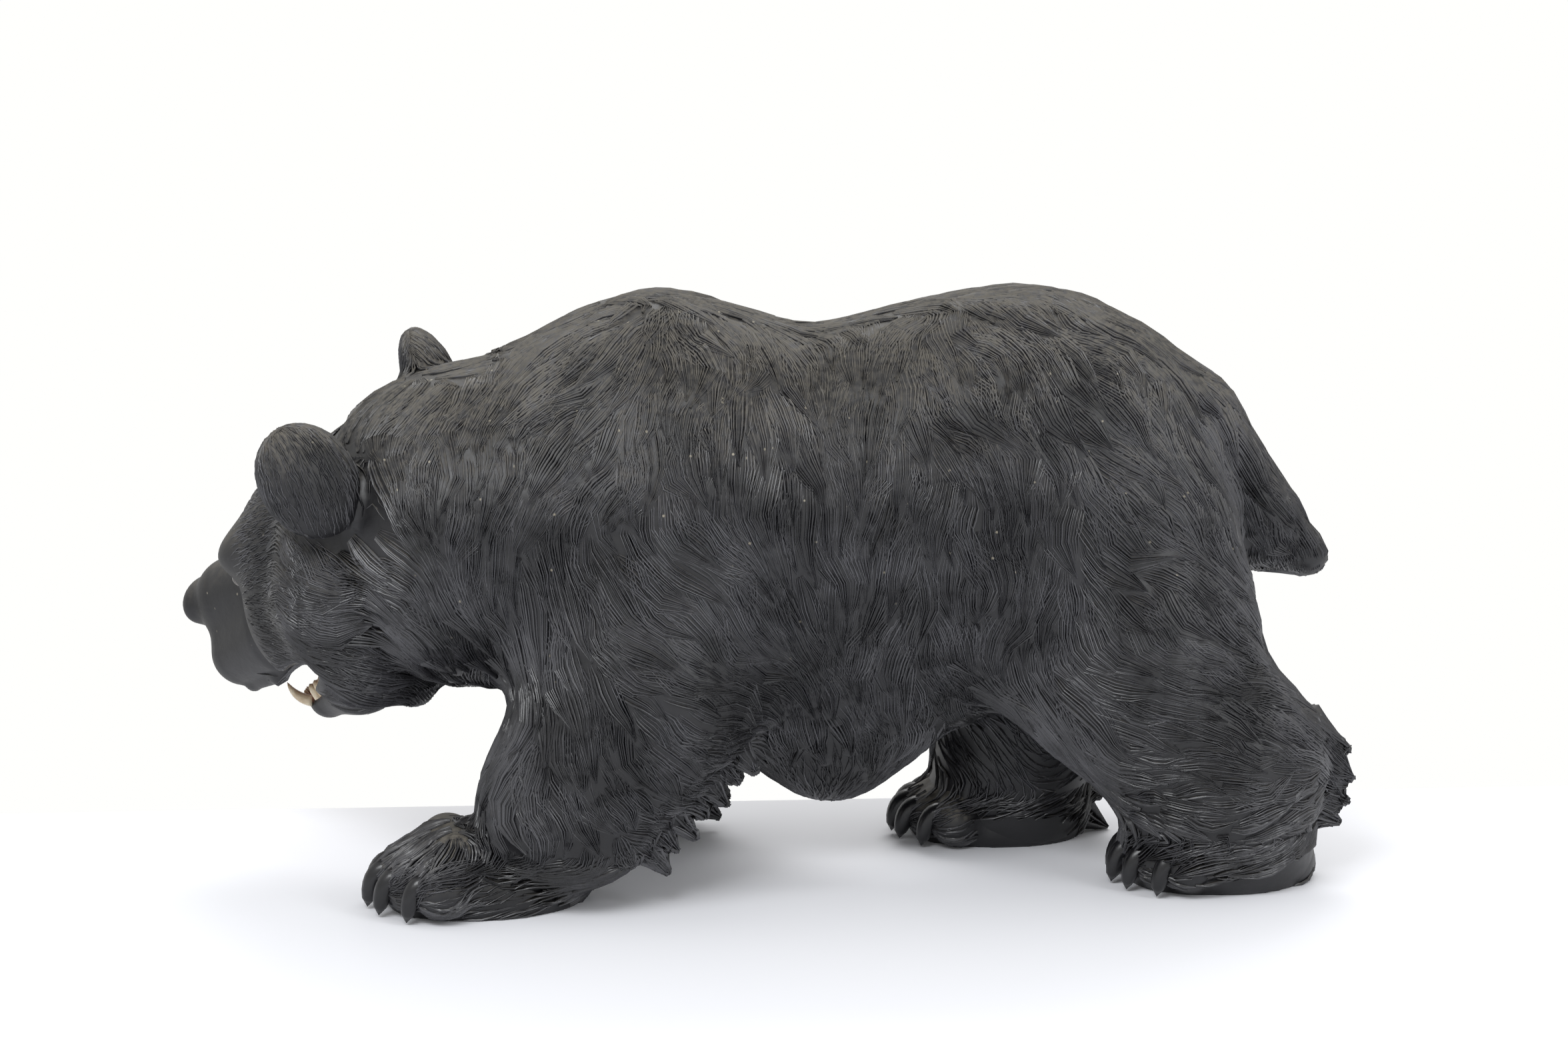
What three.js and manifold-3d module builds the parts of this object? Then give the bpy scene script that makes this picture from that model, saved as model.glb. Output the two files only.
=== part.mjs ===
// A walking bear, carved in one piece from black stone. It stands on four flat soles with its
// head low and turned to its right, and snarls. The bear faces -X, its left side is -Y, and
// the floor is Z = 0. The form is a distance field of eggs and tapering limbs that melt into
// one another. Marching cubes turn the field into a skin, locks of fur are raised on the skin
// along the lie of the hair, and the skin is thinned to facets. Claws, teeth and eyes
// are small forms of their own, joined to the skin at the end.
import * as THREE from "three";
import { edgeTable, triTable } from "three/addons/objects/MarchingCubes.js";
import { mergeVertices } from "three/addons/utils/BufferGeometryUtils.js";
import Module from "manifold-3d";

// Driving sizes, in millimetres and degrees.
const bearLength = 640; // from the nose to the tufts of the heel
const headTurn = 40; // to the bear's right
const headDip = 19; // nose down
const headTilt = 17; // left ear down
const earThickness = 13;
const fangLength = 21;
const molarLength = 8;
const eyeWidth = 14;
const clawLength = 18;
const clawWidth = 15;
const tuftLength = 14; // of the pointed locks behind the legs, out of the skin
const lockHeight = 3; // of a lock of fur over the skin
const netCell = 4; // of the marching cubes
const facetTarget = 7900; // triangles of the skin

// The carving keeps its proportions: places, radii and widths are drawn for a bear of this
// length, and every form below brings them to the size of this one.
const drawnLength = 640;
const sized = (value) => (value * bearLength) / drawnLength;

// FORMS. A form is a function that gives the distance from a point to its surface.

// A limb that tapers between two points.
function limb(from, fromRadius, to, toRadius) {
  const [ax, ay, az] = from.map(sized);
  const [ux, uy, uz] = to.map((value, axis) => sized(value - from[axis]));
  const [ra, rb] = [sized(fromRadius), sized(toRadius)];
  const lengthSquared = ux * ux + uy * uy + uz * uz;
  return (x, y, z) => {
    const px = x - ax;
    const py = y - ay;
    const pz = z - az;
    const t = Math.min(1, Math.max(0, (px * ux + py * uy + pz * uz) / lengthSquared));
    const dx = px - t * ux;
    const dy = py - t * uy;
    const dz = pz - t * uz;
    return Math.sqrt(dx * dx + dy * dy + dz * dz) - (ra + (rb - ra) * t);
  };
}

// An egg: an ellipsoid with three half widths.
function egg(middle, halfWidths) {
  const [cx, cy, cz] = middle.map(sized);
  const [a, b, c] = halfWidths.map(sized);
  return (x, y, z) => {
    const px = (x - cx) / a;
    const py = (y - cy) / b;
    const pz = (z - cz) / c;
    const reach = Math.sqrt(px * px + py * py + pz * pz);
    if (reach < 1e-6) return -Math.min(a, b, c);
    const slope = Math.sqrt((px * px) / (a * a) + (py * py) / (b * b) + (pz * pz) / (c * c));
    return (reach * (reach - 1)) / slope;
  };
}

// The lower of two distances, melted over a width.
function melt(d1, d2, width) {
  const overlap = Math.max(width - Math.abs(d1 - d2), 0) / width;
  return Math.min(d1, d2) - (overlap * overlap * width) / 4;
}

function join(drawnWidth, ...forms) {
  const width = sized(drawnWidth);
  return (x, y, z) => {
    let d = forms[0](x, y, z);
    for (let i = 1; i < forms.length; i += 1) d = melt(d, forms[i](x, y, z), width);
    return d;
  };
}

function carve(drawnWidth, form, cutter) {
  const width = sized(drawnWidth);
  return (x, y, z) => -melt(-form(x, y, z), cutter(x, y, z), width);
}

// Answers with the distance to a ball round a form while the point is far from it.
function within(middle, drawnRadius, form) {
  const [cx, cy, cz] = middle.map(sized);
  const radius = sized(drawnRadius);
  const far = radius + sized(60);
  return (x, y, z) => {
    const d = Math.sqrt((x - cx) ** 2 + (y - cy) ** 2 + (z - cz) ** 2);
    return d > far ? d - radius : form(x, y, z);
  };
}

// A frame of a form's own, such as the head's: turned, then moved.
function frame(origin, rollX = 0, pitchY = 0, yawZ = 0) {
  const turns = [rollX, pitchY, yawZ].map(THREE.MathUtils.degToRad);
  return new THREE.Matrix4()
    .makeRotationFromEuler(new THREE.Euler(...turns, "ZYX"))
    .setPosition(...origin.map(sized));
}

function placed(matrix, form) {
  const e = matrix.clone().invert().elements;
  return (x, y, z) =>
    form(
      e[0] * x + e[4] * y + e[8] * z + e[12],
      e[1] * x + e[5] * y + e[9] * z + e[13],
      e[2] * x + e[6] * y + e[10] * z + e[14],
    );
}

const both = (make) => [-1, 1].flatMap((side) => make(side));

// TRUNK: chest, hump over the shoulders, barrel, rump, belly with its keel, neck and ruff.
const trunk = join(
  40,
  egg([-45, 0, 200], [100, 86, 108]),
  egg([-68, 0, 256], [56, 46, 64]),
  egg([50, 0, 198], [130, 88, 108]),
  egg([136, 0, 218], [112, 82, 108]),
  egg([186, 0, 226], [54, 50, 54]),
  egg([30, 0, 128], [90, 56, 70]),
  egg([34, 0, 78], [30, 16, 36]),
  limb([-70, 0, 216], 90, [-166, 4, 200], 88),
);

// LEGS, each from the shoulder or hip down to the wrist or heel.
const leftFore = join(
  30,
  egg([-76, -50, 175], [74, 44, 74]),
  limb([-84, -62, 128], 52, [-120, -64, 58], 45),
  limb([-64, -66, 110], 42, [-102, -64, 62], 34),
);
const rightFore = join(
  30,
  egg([-66, 50, 175], [70, 42, 72]),
  limb([-60, 62, 128], 48, [-72, 74, 52], 38),
  limb([-40, 68, 95], 34, [-58, 74, 42], 30),
);
const leftHind = join(
  30,
  egg([186, -42, 156], [74, 48, 86]),
  limb([204, -52, 118], 55, [236, -54, 66], 54),
  limb([254, -54, 64], 46, [255, -52, 28], 38),
);
const rightHind = join(
  30,
  egg([168, 42, 152], [76, 44, 82]),
  limb([162, 50, 108], 48, [140, 52, 52], 40),
  limb([156, 52, 60], 34, [154, 52, 26], 30),
);
const tail = join(
  14,
  limb([230, 0, 247], 32, [270, 0, 196], 25),
  limb([270, 0, 192], 22, [302, 0, 174], 11),
);

// PAWS, drawn with the toes to -X and the sole below Z = 0, where it is cut flat later.
const toeCount = 5;
const paws = [
  { at: frame([-178, -56, 0], 0, 0, 6), length: 136, width: 78, height: 50 },
  { at: frame([-116, 78, 0], 0, 0, -8), length: 124, width: 76, height: 46 },
  { at: frame([232, -52, 0], 0, 0, 5), length: 132, width: 74, height: 48 },
  { at: frame([122, 54, 0], 0, 0, -5), length: 124, width: 72, height: 46 },
];
function toesOf({ length, width, height }) {
  return Array.from({ length: toeCount }, (_, i) => {
    const across = i / (toeCount - 1) - 0.5;
    return {
      root: [-length * 0.02, across * width * 0.5, height * 0.6],
      knuckle: [length * (0.5 * across * across - 0.22), across * width * 0.82, height * 0.35],
      radius: height * 0.32,
      splay: across,
    };
  });
}
function pawForm(paw) {
  const { at, length, width, height } = paw;
  const toes = toesOf(paw).map(({ root, knuckle, radius }) => limb(root, radius, knuckle, radius * 0.92));
  const pad = egg([length * 0.12, 0, height * 0.2], [length * 0.4, width * 0.46, height * 0.66]);
  return placed(at, within([0, 0, 0], length * 0.6, join(8, pad, join(3, ...toes))));
}

// HEAD, in a frame whose origin is the middle of the skull and whose nose points to -X.
const headFrame = frame([-218, 10, 195], headTilt, -headDip, -headTurn);
const skull = join(
  24,
  egg([4, 0, 6], [66, 58, 52]),
  egg([-42, 0, 14], [38, 45, 32]),
  ...both((side) => [egg([-32, side * 40, -26], [44, 26, 42])]),
);
const ruff = both((side) => [
  limb([4, side * 52, 22], 10, [-4, side * 58, -14], 18),
  limb([-4, side * 58, -14], 18, [-14, side * 44, -54], 17),
  limb([-14, side * 44, -54], 17, [-8, side * 20, -78], 16),
]);
const brows = both((side) => [egg([-68, side * 28, 19], [16, 15, 11])]);
const muzzle = join(
  12,
  limb([-62, 0, -14], 32, [-118, 0, -14], 24),
  ...both((side) => [limb([-84, side * 18, -36], 24, [-118, side * 15, -42], 19)]),
);
const palate = limb([-50, 0, -68], 17, [-124, 0, -66], 13);
const nosePad = egg([-140, 0, -10], [10, 19, 13]);
const nostrils = both((side) => [limb([-153, side * 9, -9], 4, [-144, side * 9, -12], 3)]);
const jaw = join(10, limb([-20, 0, -58], 30, [-60, 0, -78], 21), limb([-60, 0, -78], 20, [-90, 0, -86], 12));
const jawTrough = limb([-46, 0, -64], 12, [-90, 0, -76], 7);
const tongue = limb([-46, 0, -72], 12, [-80, 0, -80], 7);
const earMiddle = (side) => [31, side * 63, 55];
function earForm(side) {
  const shell = egg([0, 0, 0], [earThickness, 27, 33]);
  const hollow = egg([-earThickness * 1.1, 0, 3], [earThickness, 19, 24]);
  const earFrame = frame(earMiddle(side), side * -14, 0, side * -8);
  return within(earMiddle(side), 36, placed(earFrame, carve(5, shell, hollow)));
}
const face = join(9, join(16, join(26, skull, ...ruff), ...brows), muzzle);
const mouthless = join(5, carve(6, face, palate), nosePad);
const head = join(
  4,
  carve(4, join(4, mouthless, carve(5, jaw, jawTrough)), join(3, ...nostrils)),
  tongue,
  ...both((side) => [earForm(side)]),
);

const smoothBear = join(
  8,
  join(16, join(28, trunk, leftFore, rightFore, leftHind, rightHind), ...paws.map(pawForm), tail),
  placed(headFrame, within([-50, 0, -20], 130, head)),
);

// TUFTS: pointed locks in rows down the back of each leg. A row runs inside the leg, and each
// tuft looks for the skin along its own way before it is placed.
const fringes = [
  { from: [-50, -66, 112], to: [-108, -66, 68], toward: [0.66, -0.15, -0.72], count: 7 },
  { from: [-52, -54, 100], to: [-104, -54, 66], toward: [0.66, 0.2, -0.72], count: 5 },
  { from: [-46, 68, 92], to: [-58, 74, 34], toward: [0.8, 0.05, -0.6], count: 5 },
  { from: [-46, 82, 84], to: [-58, 86, 34], toward: [0.7, 0.4, -0.6], count: 4 },
  { from: [212, -50, 128], to: [248, -54, 66], toward: [0.88, -0.1, -0.46], count: 7 },
  { from: [212, -40, 122], to: [248, -42, 66], toward: [0.84, 0.3, -0.46], count: 5 },
  { from: [160, 54, 92], to: [154, 54, 32], toward: [0.84, 0, -0.54], count: 5 },
];
const tuftRadius = 11;
function tuftsOf({ from, to, toward, count }) {
  const way = new THREE.Vector3(...toward).normalize();
  return Array.from({ length: count }, (_, i) => {
    const onSkin = new THREE.Vector3(...from).lerp(new THREE.Vector3(...to), i / (count - 1));
    for (let n = 0; n < 12; n += 1) {
      const gap = smoothBear(...onSkin.toArray().map(sized)) / sized(1);
      onSkin.addScaledVector(way, -gap);
    }
    const reach = (tuftLength / sized(1)) * (i % 2 ? 0.75 : 1);
    const root = onSkin.clone().addScaledVector(way, -tuftRadius);
    const tip = onSkin.clone().addScaledVector(way, reach);
    const height = root.distanceTo(tip) + tuftRadius;
    return within(onSkin.toArray(), height, limb(root.toArray(), tuftRadius, tip.toArray(), 2));
  });
}
const wholeBear = join(5, smoothBear, ...fringes.flatMap(tuftsOf));

// SKIN. Marching cubes over a box. A block that the skin can't cross is filled in one go.
function polygonise(distance, low, high, cell) {
  const count = high.map((h, i) => Math.ceil((h - low[i]) / cell) + 1);
  const row = count[0];
  const layer = count[0] * count[1];
  const values = new Float32Array(layer * count[2]);
  const block = 5;
  const reach = block * cell * 1.2;
  for (let k = 0; k < count[2]; k += block)
    for (let j = 0; j < count[1]; j += block)
      for (let i = 0; i < count[0]; i += block) {
        const middle = [i, j, k].map((n, axis) => low[axis] + (n + block / 2) * cell);
        const far = distance(...middle);
        const skip = Math.abs(far) > reach;
        for (let c = k; c < Math.min(k + block, count[2]); c += 1)
          for (let b = j; b < Math.min(j + block, count[1]); b += 1)
            for (let a = i; a < Math.min(i + block, count[0]); a += 1)
              values[a + b * row + c * layer] = skip
                ? far
                : distance(low[0] + a * cell, low[1] + b * cell, low[2] + c * cell);
      }
  const corner = [0, 1, 1 + row, row, layer, 1 + layer, 1 + row + layer, row + layer];
  const edges = [
    [0, 1], [1, 2], [3, 2], [0, 3], [4, 5], [5, 6], [7, 6], [4, 7], [0, 4], [1, 5], [2, 6], [3, 7],
  ];
  const edgeAxis = [0, 1, 0, 1, 0, 1, 0, 1, 2, 2, 2, 2];
  const made = new Map();
  const points = [];
  const faces = [];
  const vertexOn = (base, edge) => {
    const [from, to] = edges[edge].map((n) => base + corner[n]);
    const key = from * 3 + edgeAxis[edge];
    if (!made.has(key)) {
      const share = values[from] / (values[from] - values[to]);
      const at = [from % row, Math.floor(from / row) % count[1], Math.floor(from / layer)];
      at[edgeAxis[edge]] += Math.min(0.9, Math.max(0.1, share));
      made.set(key, points.length / 3);
      points.push(...at.map((n, axis) => low[axis] + n * cell));
    }
    return made.get(key);
  };
  for (let k = 0; k < count[2] - 1; k += 1)
    for (let j = 0; j < count[1] - 1; j += 1)
      for (let i = 0; i < count[0] - 1; i += 1) {
        const base = i + j * row + k * layer;
        let kind = 0;
        for (let n = 0; n < 8; n += 1) if (values[base + corner[n]] < 0) kind |= 1 << n;
        if (!edgeTable[kind]) continue;
        for (let n = kind * 16; triTable[n] !== -1; n += 3)
          faces.push([2, 1, 0].map((c) => vertexOn(base, triTable[n + c])));
      }
  return { points: new Float64Array(points), faces };
}

// LIE OF THE HAIR on the left side, as places [x, z] and an angle: 0 runs back to the tail and
// 90 runs down. The right side mirrors it. The nearer a place, the more it counts.
const lie = [
  [-144, 292, 160], [-160, 282, 100], [-168, 264, 95], [-94, 316, 155], [-108, 292, 100], [-116, 266, 125],
  [-64, 322, 105], [-76, 292, 110], [-88, 264, 130], [-124, 246, 130], [-170, 232, 80], [-220, 236, 65],
  [-228, 186, 25], [-210, 174, 45], [-242, 144, 10], [-214, 138, 15], [-200, 110, 45], [-188, 164, 55],
  [-150, 194, 105], [-150, 152, 70], [-124, 220, 130], [-132, 184, 95], [-128, 160, 65], [-112, 148, 40],
  [-102, 192, 55], [-84, 178, 20], [-90, 228, 85], [-66, 196, 60], [-48, 178, 45], [-20, 150, 30],
  [-56, 274, 105], [-48, 248, 75], [-38, 212, 60], [-32, 318, 60], [-22, 292, 100], [16, 308, 115],
  [64, 312, 110], [10, 290, 95], [56, 290, 80], [-10, 262, 115], [18, 264, 65], [24, 230, 90], [6, 192, 70],
  [18, 154, 75], [50, 230, 110], [56, 194, 120], [42, 172, 95], [78, 226, 80], [86, 190, 75], [116, 170, 95],
  [106, 276, 50], [94, 256, 60], [126, 270, 75], [92, 126, 55], [116, 98, 60], [64, 114, 85], [30, 110, 90],
  [132, 222, 100], [136, 188, 105], [130, 150, 105], [132, 102, 55], [158, 242, 55], [172, 220, 40],
  [186, 194, 30], [158, 170, 80], [152, 132, 70], [168, 122, 35], [186, 114, 10], [122, 316, 65],
  [158, 310, 35], [174, 288, 60], [218, 250, 55], [202, 218, 55], [242, 220, 65], [200, 170, 30],
  [222, 162, 35], [214, 136, 25], [258, 102, 20], [194, 86, -10], [220, 82, 0], [256, 74, 15], [238, 56, -5],
  [264, 236, 80], [268, 198, 75], [296, 184, 40], [-138, 112, 100], [-150, 98, 130], [-162, 72, 110],
  [-120, 116, 75], [-120, 74, 75], [-102, 110, 60], [-86, 110, 55], [-86, 66, 55], [-68, 98, 45],
  [-50, 108, 30], [-38, 120, 20], [-160, 40, 75],
];
function lieAt([x, , z], normal) {
  const reach = sized(20);
  const sum = new THREE.Vector2();
  for (const [px, pz, angle] of lie) {
    const near = Math.exp(-((x - sized(px)) ** 2 + (z - sized(pz)) ** 2) / (2 * reach * reach));
    const turn = THREE.MathUtils.degToRad(angle);
    sum.x += near * Math.cos(turn);
    sum.y += near * Math.sin(turn);
  }
  const along = new THREE.Vector3(1, 0, 0).addScaledVector(normal, -normal.x).normalize();
  const down = new THREE.Vector3(0, 0, -1).addScaledVector(normal, normal.z).normalize();
  return along.multiplyScalar(sum.x).addScaledVector(down, sum.y + 1e-9).normalize();
}

function slopeOf(distance, [x, y, z]) {
  const h = 0.5;
  return new THREE.Vector3(
    distance(x + h, y, z) - distance(x - h, y, z),
    distance(x, y + h, z) - distance(x, y - h, z),
    distance(x, y, z + h) - distance(x, y, z - h),
  ).normalize();
}

// Where the fur is long: not on the face, the ears, the feet and the smooth belly.
const toHead = headFrame.clone().invert();
function isFurred(point) {
  const [x, y, z] = new THREE.Vector3(...point).applyMatrix4(toHead).toArray();
  const onHead = Math.hypot(x, y, z) < sized(135) && (x < sized(-4) || z > sized(30));
  const onBelly = point[2] < sized(112) && Math.abs(point[1]) < sized(44);
  return !onHead && !onBelly && point[2] > sized(42);
}

// LOCKS of fur. Each starts at a seed, follows the lie of the hair, and rises from its root
// to a ridge that ends in a point. A vertex takes the highest lock over it.
const lockSteps = 9;
const lockStep = sized(6);
const lockWidth = sized(9);
const lockSpacing = sized(17);

class Bins {
  constructor(points, size) {
    this.size = size;
    this.cells = new Map();
    for (let v = 0; v < points.length / 3; v += 1) {
      const key = this.keyOf(points[3 * v], points[3 * v + 1], points[3 * v + 2]);
      if (!this.cells.has(key)) this.cells.set(key, []);
      this.cells.get(key).push(v);
    }
  }
  keyOf(x, y, z) {
    return [x, y, z].map((value) => Math.floor(value / this.size)).join();
  }
  around({ x, y, z }) {
    const found = [];
    for (const dx of [-1, 0, 1])
      for (const dy of [-1, 0, 1])
        for (const dz of [-1, 0, 1]) {
          const key = this.keyOf(x + dx * this.size, y + dy * this.size, z + dz * this.size);
          found.push(...(this.cells.get(key) ?? []));
        }
    return found;
  }
}

function lockSeeds(points) {
  const count = points.length / 3;
  const taken = new Set();
  const seeds = [];
  let pick = 1;
  for (let n = 0; n < count; n += 1) {
    pick = (pick * 48271) % 2147483647;
    const v = pick % count;
    const seed = Array.from(points.subarray(3 * v, 3 * v + 3));
    const cell = seed.map((value) => Math.floor(value / lockSpacing)).join();
    if (taken.has(cell) || !isFurred(seed)) continue;
    taken.add(cell);
    seeds.push(new THREE.Vector3(...seed));
  }
  return seeds;
}

function raiseLocks({ points, faces }, distance) {
  const bins = new Bins(points, lockWidth);
  const count = points.length / 3;
  const height = new Float64Array(count);
  for (const at of lockSeeds(points))
    for (let i = 0; i <= lockSteps; i += 1) {
      const t = i / lockSteps;
      const rise = Math.min(t / 0.75, 1) * lockHeight;
      const width = lockWidth * Math.min(1, 0.45 + t, (1.08 - t) * 3);
      for (const v of bins.around(at)) {
        const place = new THREE.Vector3(...points.subarray(3 * v, 3 * v + 3));
        height[v] = Math.max(height[v], rise * (1 - place.distanceTo(at) / width));
      }
      at.addScaledVector(lieAt(at.toArray(), slopeOf(distance, at.toArray())), lockStep);
      at.addScaledVector(slopeOf(distance, at.toArray()), -distance(...at.toArray()));
    }
  // The heights are evened out once, so that no tip ends in a cliff.
  const sum = new Float64Array(count);
  const tally = new Float64Array(count);
  for (const face of faces)
    for (const v of face)
      for (const w of face) {
        sum[v] += height[w];
        tally[v] += 1;
      }
  for (let v = 0; v < count; v += 1) {
    const rise = (height[v] + sum[v] / tally[v]) / 2;
    if (rise === 0) continue;
    const place = new THREE.Vector3(...points.subarray(3 * v, 3 * v + 3));
    points.set(place.addScaledVector(slopeOf(distance, place.toArray()), rise).toArray(), 3 * v);
  }
  return { points, faces };
}

// THINNING. The least telling edge is folded away, over and over. Each vertex carries the sum
// of its faces' plane equations, a quadric, which prices how far a fold strays from them.
function cross(p, a, b, c) {
  const [ux, uy, uz] = [p[b] - p[a], p[b + 1] - p[a + 1], p[b + 2] - p[a + 2]];
  const [vx, vy, vz] = [p[c] - p[a], p[c + 1] - p[a + 1], p[c + 2] - p[a + 2]];
  return [uy * vz - uz * vy, uz * vx - ux * vz, ux * vy - uy * vx];
}

class Heap {
  constructor() {
    this.items = [];
  }
  push(item) {
    const { items } = this;
    let i = items.push(item) - 1;
    while (i > 0) {
      const parent = (i - 1) >> 1;
      if (items[parent].cost <= item.cost) break;
      items[i] = items[parent];
      i = parent;
    }
    items[i] = item;
  }
  pop() {
    const { items } = this;
    const top = items[0];
    const last = items.pop();
    if (!items.length) return top;
    let i = 0;
    for (let child = 1; child < items.length; child = 2 * i + 1) {
      if (child + 1 < items.length && items[child + 1].cost < items[child].cost) child += 1;
      if (items[child].cost >= last.cost) break;
      items[i] = items[child];
      i = child;
    }
    items[i] = last;
    return top;
  }
}

function thin({ points, faces }, target) {
  const count = points.length / 3;
  const quadrics = new Float64Array(count * 10);
  const facesAt = Array.from({ length: count }, () => []);
  const stamp = new Uint32Array(count);
  const live = faces.map(() => true);
  faces.forEach(([u, v, w], f) => {
    const n = cross(points, 3 * u, 3 * v, 3 * w);
    const area = Math.sqrt(n[0] * n[0] + n[1] * n[1] + n[2] * n[2]) || 1e-9;
    const [a, b, c] = n.map((value) => value / area);
    const d = -(a * points[3 * u] + b * points[3 * u + 1] + c * points[3 * u + 2]);
    const plane = [a * a, a * b, a * c, a * d, b * b, b * c, b * d, c * c, c * d, d * d];
    for (const vertex of [u, v, w]) {
      facesAt[vertex].push(f);
      for (let i = 0; i < 10; i += 1) quadrics[10 * vertex + i] += plane[i] * area;
    }
  });
  const k = new Float64Array(10);
  const squares = new THREE.Matrix3();
  const strayOf = ({ x, y, z }) =>
    k[0] * x * x + 2 * k[1] * x * y + 2 * k[2] * x * z + 2 * k[3] * x + k[4] * y * y +
    2 * k[5] * y * z + 2 * k[6] * y + k[7] * z * z + 2 * k[8] * z + k[9];
  const offer = (heap, u, v) => {
    for (let i = 0; i < 10; i += 1) k[i] = quadrics[10 * u + i] + quadrics[10 * v + i];
    const from = new THREE.Vector3().fromArray(points, 3 * u);
    const to = new THREE.Vector3().fromArray(points, 3 * v);
    const middle = new THREE.Vector3().lerpVectors(from, to, 0.5);
    const span = from.distanceToSquared(to);
    const choices = [middle, from, to];
    squares.set(k[0], k[1], k[2], k[1], k[4], k[5], k[2], k[5], k[7]);
    if (Math.abs(squares.determinant()) > 1e-3 * k[0] * k[4] * k[7]) {
      const solved = new THREE.Vector3(-k[3], -k[6], -k[8]).applyMatrix3(squares.invert());
      if (solved.distanceToSquared(middle) < span) choices.push(solved);
    }
    const strays = choices.map(strayOf);
    const stray = Math.min(...strays);
    const place = choices[strays.indexOf(stray)].toArray();
    heap.push({ u, v, place, cost: stray + span * 0.02, stamps: stamp[u] + stamp[v] });
  };
  const heap = new Heap();
  for (const [a, b, c] of faces) for (const [u, v] of [[a, b], [b, c], [c, a]]) if (u < v) offer(heap, u, v);
  const ringOf = (vertex) => {
    const ring = new Set();
    for (const f of facesAt[vertex]) for (const n of faces[f]) if (n !== vertex) ring.add(n);
    return ring;
  };
  const kept = new Float64Array(3);
  const turnsOver = (vertex, other, place) => {
    const before = facesAt[vertex].filter((f) => !faces[f].includes(other));
    const crosses = before.map((f) => cross(points, ...faces[f].map((n) => 3 * n)));
    kept.set(points.subarray(3 * vertex, 3 * vertex + 3));
    points.set(place, 3 * vertex);
    const turned = before.some((f, i) => {
      const [ax, ay, az] = crosses[i];
      const [bx, by, bz] = cross(points, ...faces[f].map((n) => 3 * n));
      const lengths = Math.sqrt((ax * ax + ay * ay + az * az) * (bx * bx + by * by + bz * bz));
      return ax * bx + ay * by + az * bz < 0.3 * lengths;
    });
    points.set(kept, 3 * vertex);
    return turned;
  };
  let left = faces.length;
  while (left > target && heap.items.length) {
    const { u, v, place, stamps } = heap.pop();
    if (stamps !== stamp[u] + stamp[v] || !facesAt[u].length || !facesAt[v].length) continue;
    const ring = ringOf(v);
    const shared = [...ringOf(u)].filter((n) => ring.has(n));
    if (shared.length !== 2 || turnsOver(u, v, place) || turnsOver(v, u, place)) continue;
    for (const f of facesAt[v]) {
      if (faces[f].includes(u)) {
        live[f] = false;
        left -= 1;
        for (const n of faces[f]) if (n !== v) facesAt[n] = facesAt[n].filter((g) => g !== f);
      } else {
        faces[f] = faces[f].map((n) => (n === v ? u : n));
        facesAt[u].push(f);
      }
    }
    facesAt[v] = [];
    points.set(place, 3 * u);
    for (let i = 0; i < 10; i += 1) quadrics[10 * u + i] += quadrics[10 * v + i];
    stamp[u] += 1;
    stamp[v] += 1;
    for (const n of ringOf(u)) offer(heap, u, n);
  }
  return { points, faces: faces.filter((_, f) => live[f]) };
}

function skinGeometry({ points, faces }) {
  const geometry = new THREE.BufferGeometry();
  const numbers = new Map();
  const positions = [];
  const index = faces.flat().map((v) => {
    if (!numbers.has(v)) {
      numbers.set(v, numbers.size);
      positions.push(...points.subarray(3 * v, 3 * v + 3));
    }
    return numbers.get(v);
  });
  geometry.setAttribute("position", new THREE.Float32BufferAttribute(positions, 3));
  geometry.setIndex(index);
  return geometry;
}

// HORNS: claws and teeth. A round section runs along a bend and narrows to a point.
const lastRing = 0.86; // share of a horn's path at which its point begins
function horn(from, bend, to, radius, { flat = 1, taper = 0.75, sides = 6 } = {}) {
  const path = new THREE.QuadraticBezierCurve3(from, bend, to);
  const rings = 3;
  const positions = [];
  const index = [];
  const firstTangent = path.getTangent(0);
  const across = new THREE.Vector3(0, 0, 1).cross(firstTangent);
  if (across.lengthSq() < 0.01) across.set(0, 1, 0);
  across.normalize();
  for (let r = 0; r < rings; r += 1) {
    const t = (lastRing * r) / (rings - 1);
    const middle = path.getPoint(t);
    const upward = path.getTangent(t).cross(across).normalize();
    const width = radius * (1 - taper * t * t);
    for (let i = 0; i < sides; i += 1) {
      const turn = (2 * Math.PI * i) / sides;
      const rim = middle
        .clone()
        .addScaledVector(across, width * Math.cos(turn))
        .addScaledVector(upward, width * flat * Math.sin(turn));
      positions.push(rim.x, rim.y, rim.z);
    }
  }
  positions.push(...path.getPoint(1).toArray(), ...path.getPoint(0).toArray());
  const tip = rings * sides;
  for (let i = 0; i < sides; i += 1) {
    const next = (i + 1) % sides;
    for (let r = 0; r < rings - 1; r += 1) {
      const [a, b] = [r * sides + i, r * sides + next];
      index.push(a, b, b + sides, a, b + sides, a + sides);
    }
    index.push((rings - 1) * sides + i, (rings - 1) * sides + next, tip, next, i, tip + 1);
  }
  const geometry = new THREE.BufferGeometry();
  geometry.setAttribute("position", new THREE.Float32BufferAttribute(positions, 3));
  geometry.setIndex(index);
  return geometry;
}

const spot = (...drawn) => new THREE.Vector3(...drawn.map(sized));

// A claw starts inside the end of its toe, arches and bends down nearly to the floor.
const clawTipHeight = 1.5;
function clawsOf(paw) {
  return toesOf(paw).map(({ knuckle: [x, y, z], radius, splay }) => {
    const root = spot(x - radius * 0.35, y, z + 4);
    const ahead = new THREE.Vector3(-1, splay * 0.35, 0).normalize();
    const bend = root.clone().addScaledVector(ahead, clawLength * 0.8);
    const tip = root.clone().addScaledVector(ahead, clawLength);
    bend.z += clawLength / 6;
    tip.z = clawTipHeight;
    return horn(root, bend, tip, clawWidth / 2, { flat: 1.1, taper: 0.55 }).applyMatrix4(paw.at);
  });
}

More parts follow.
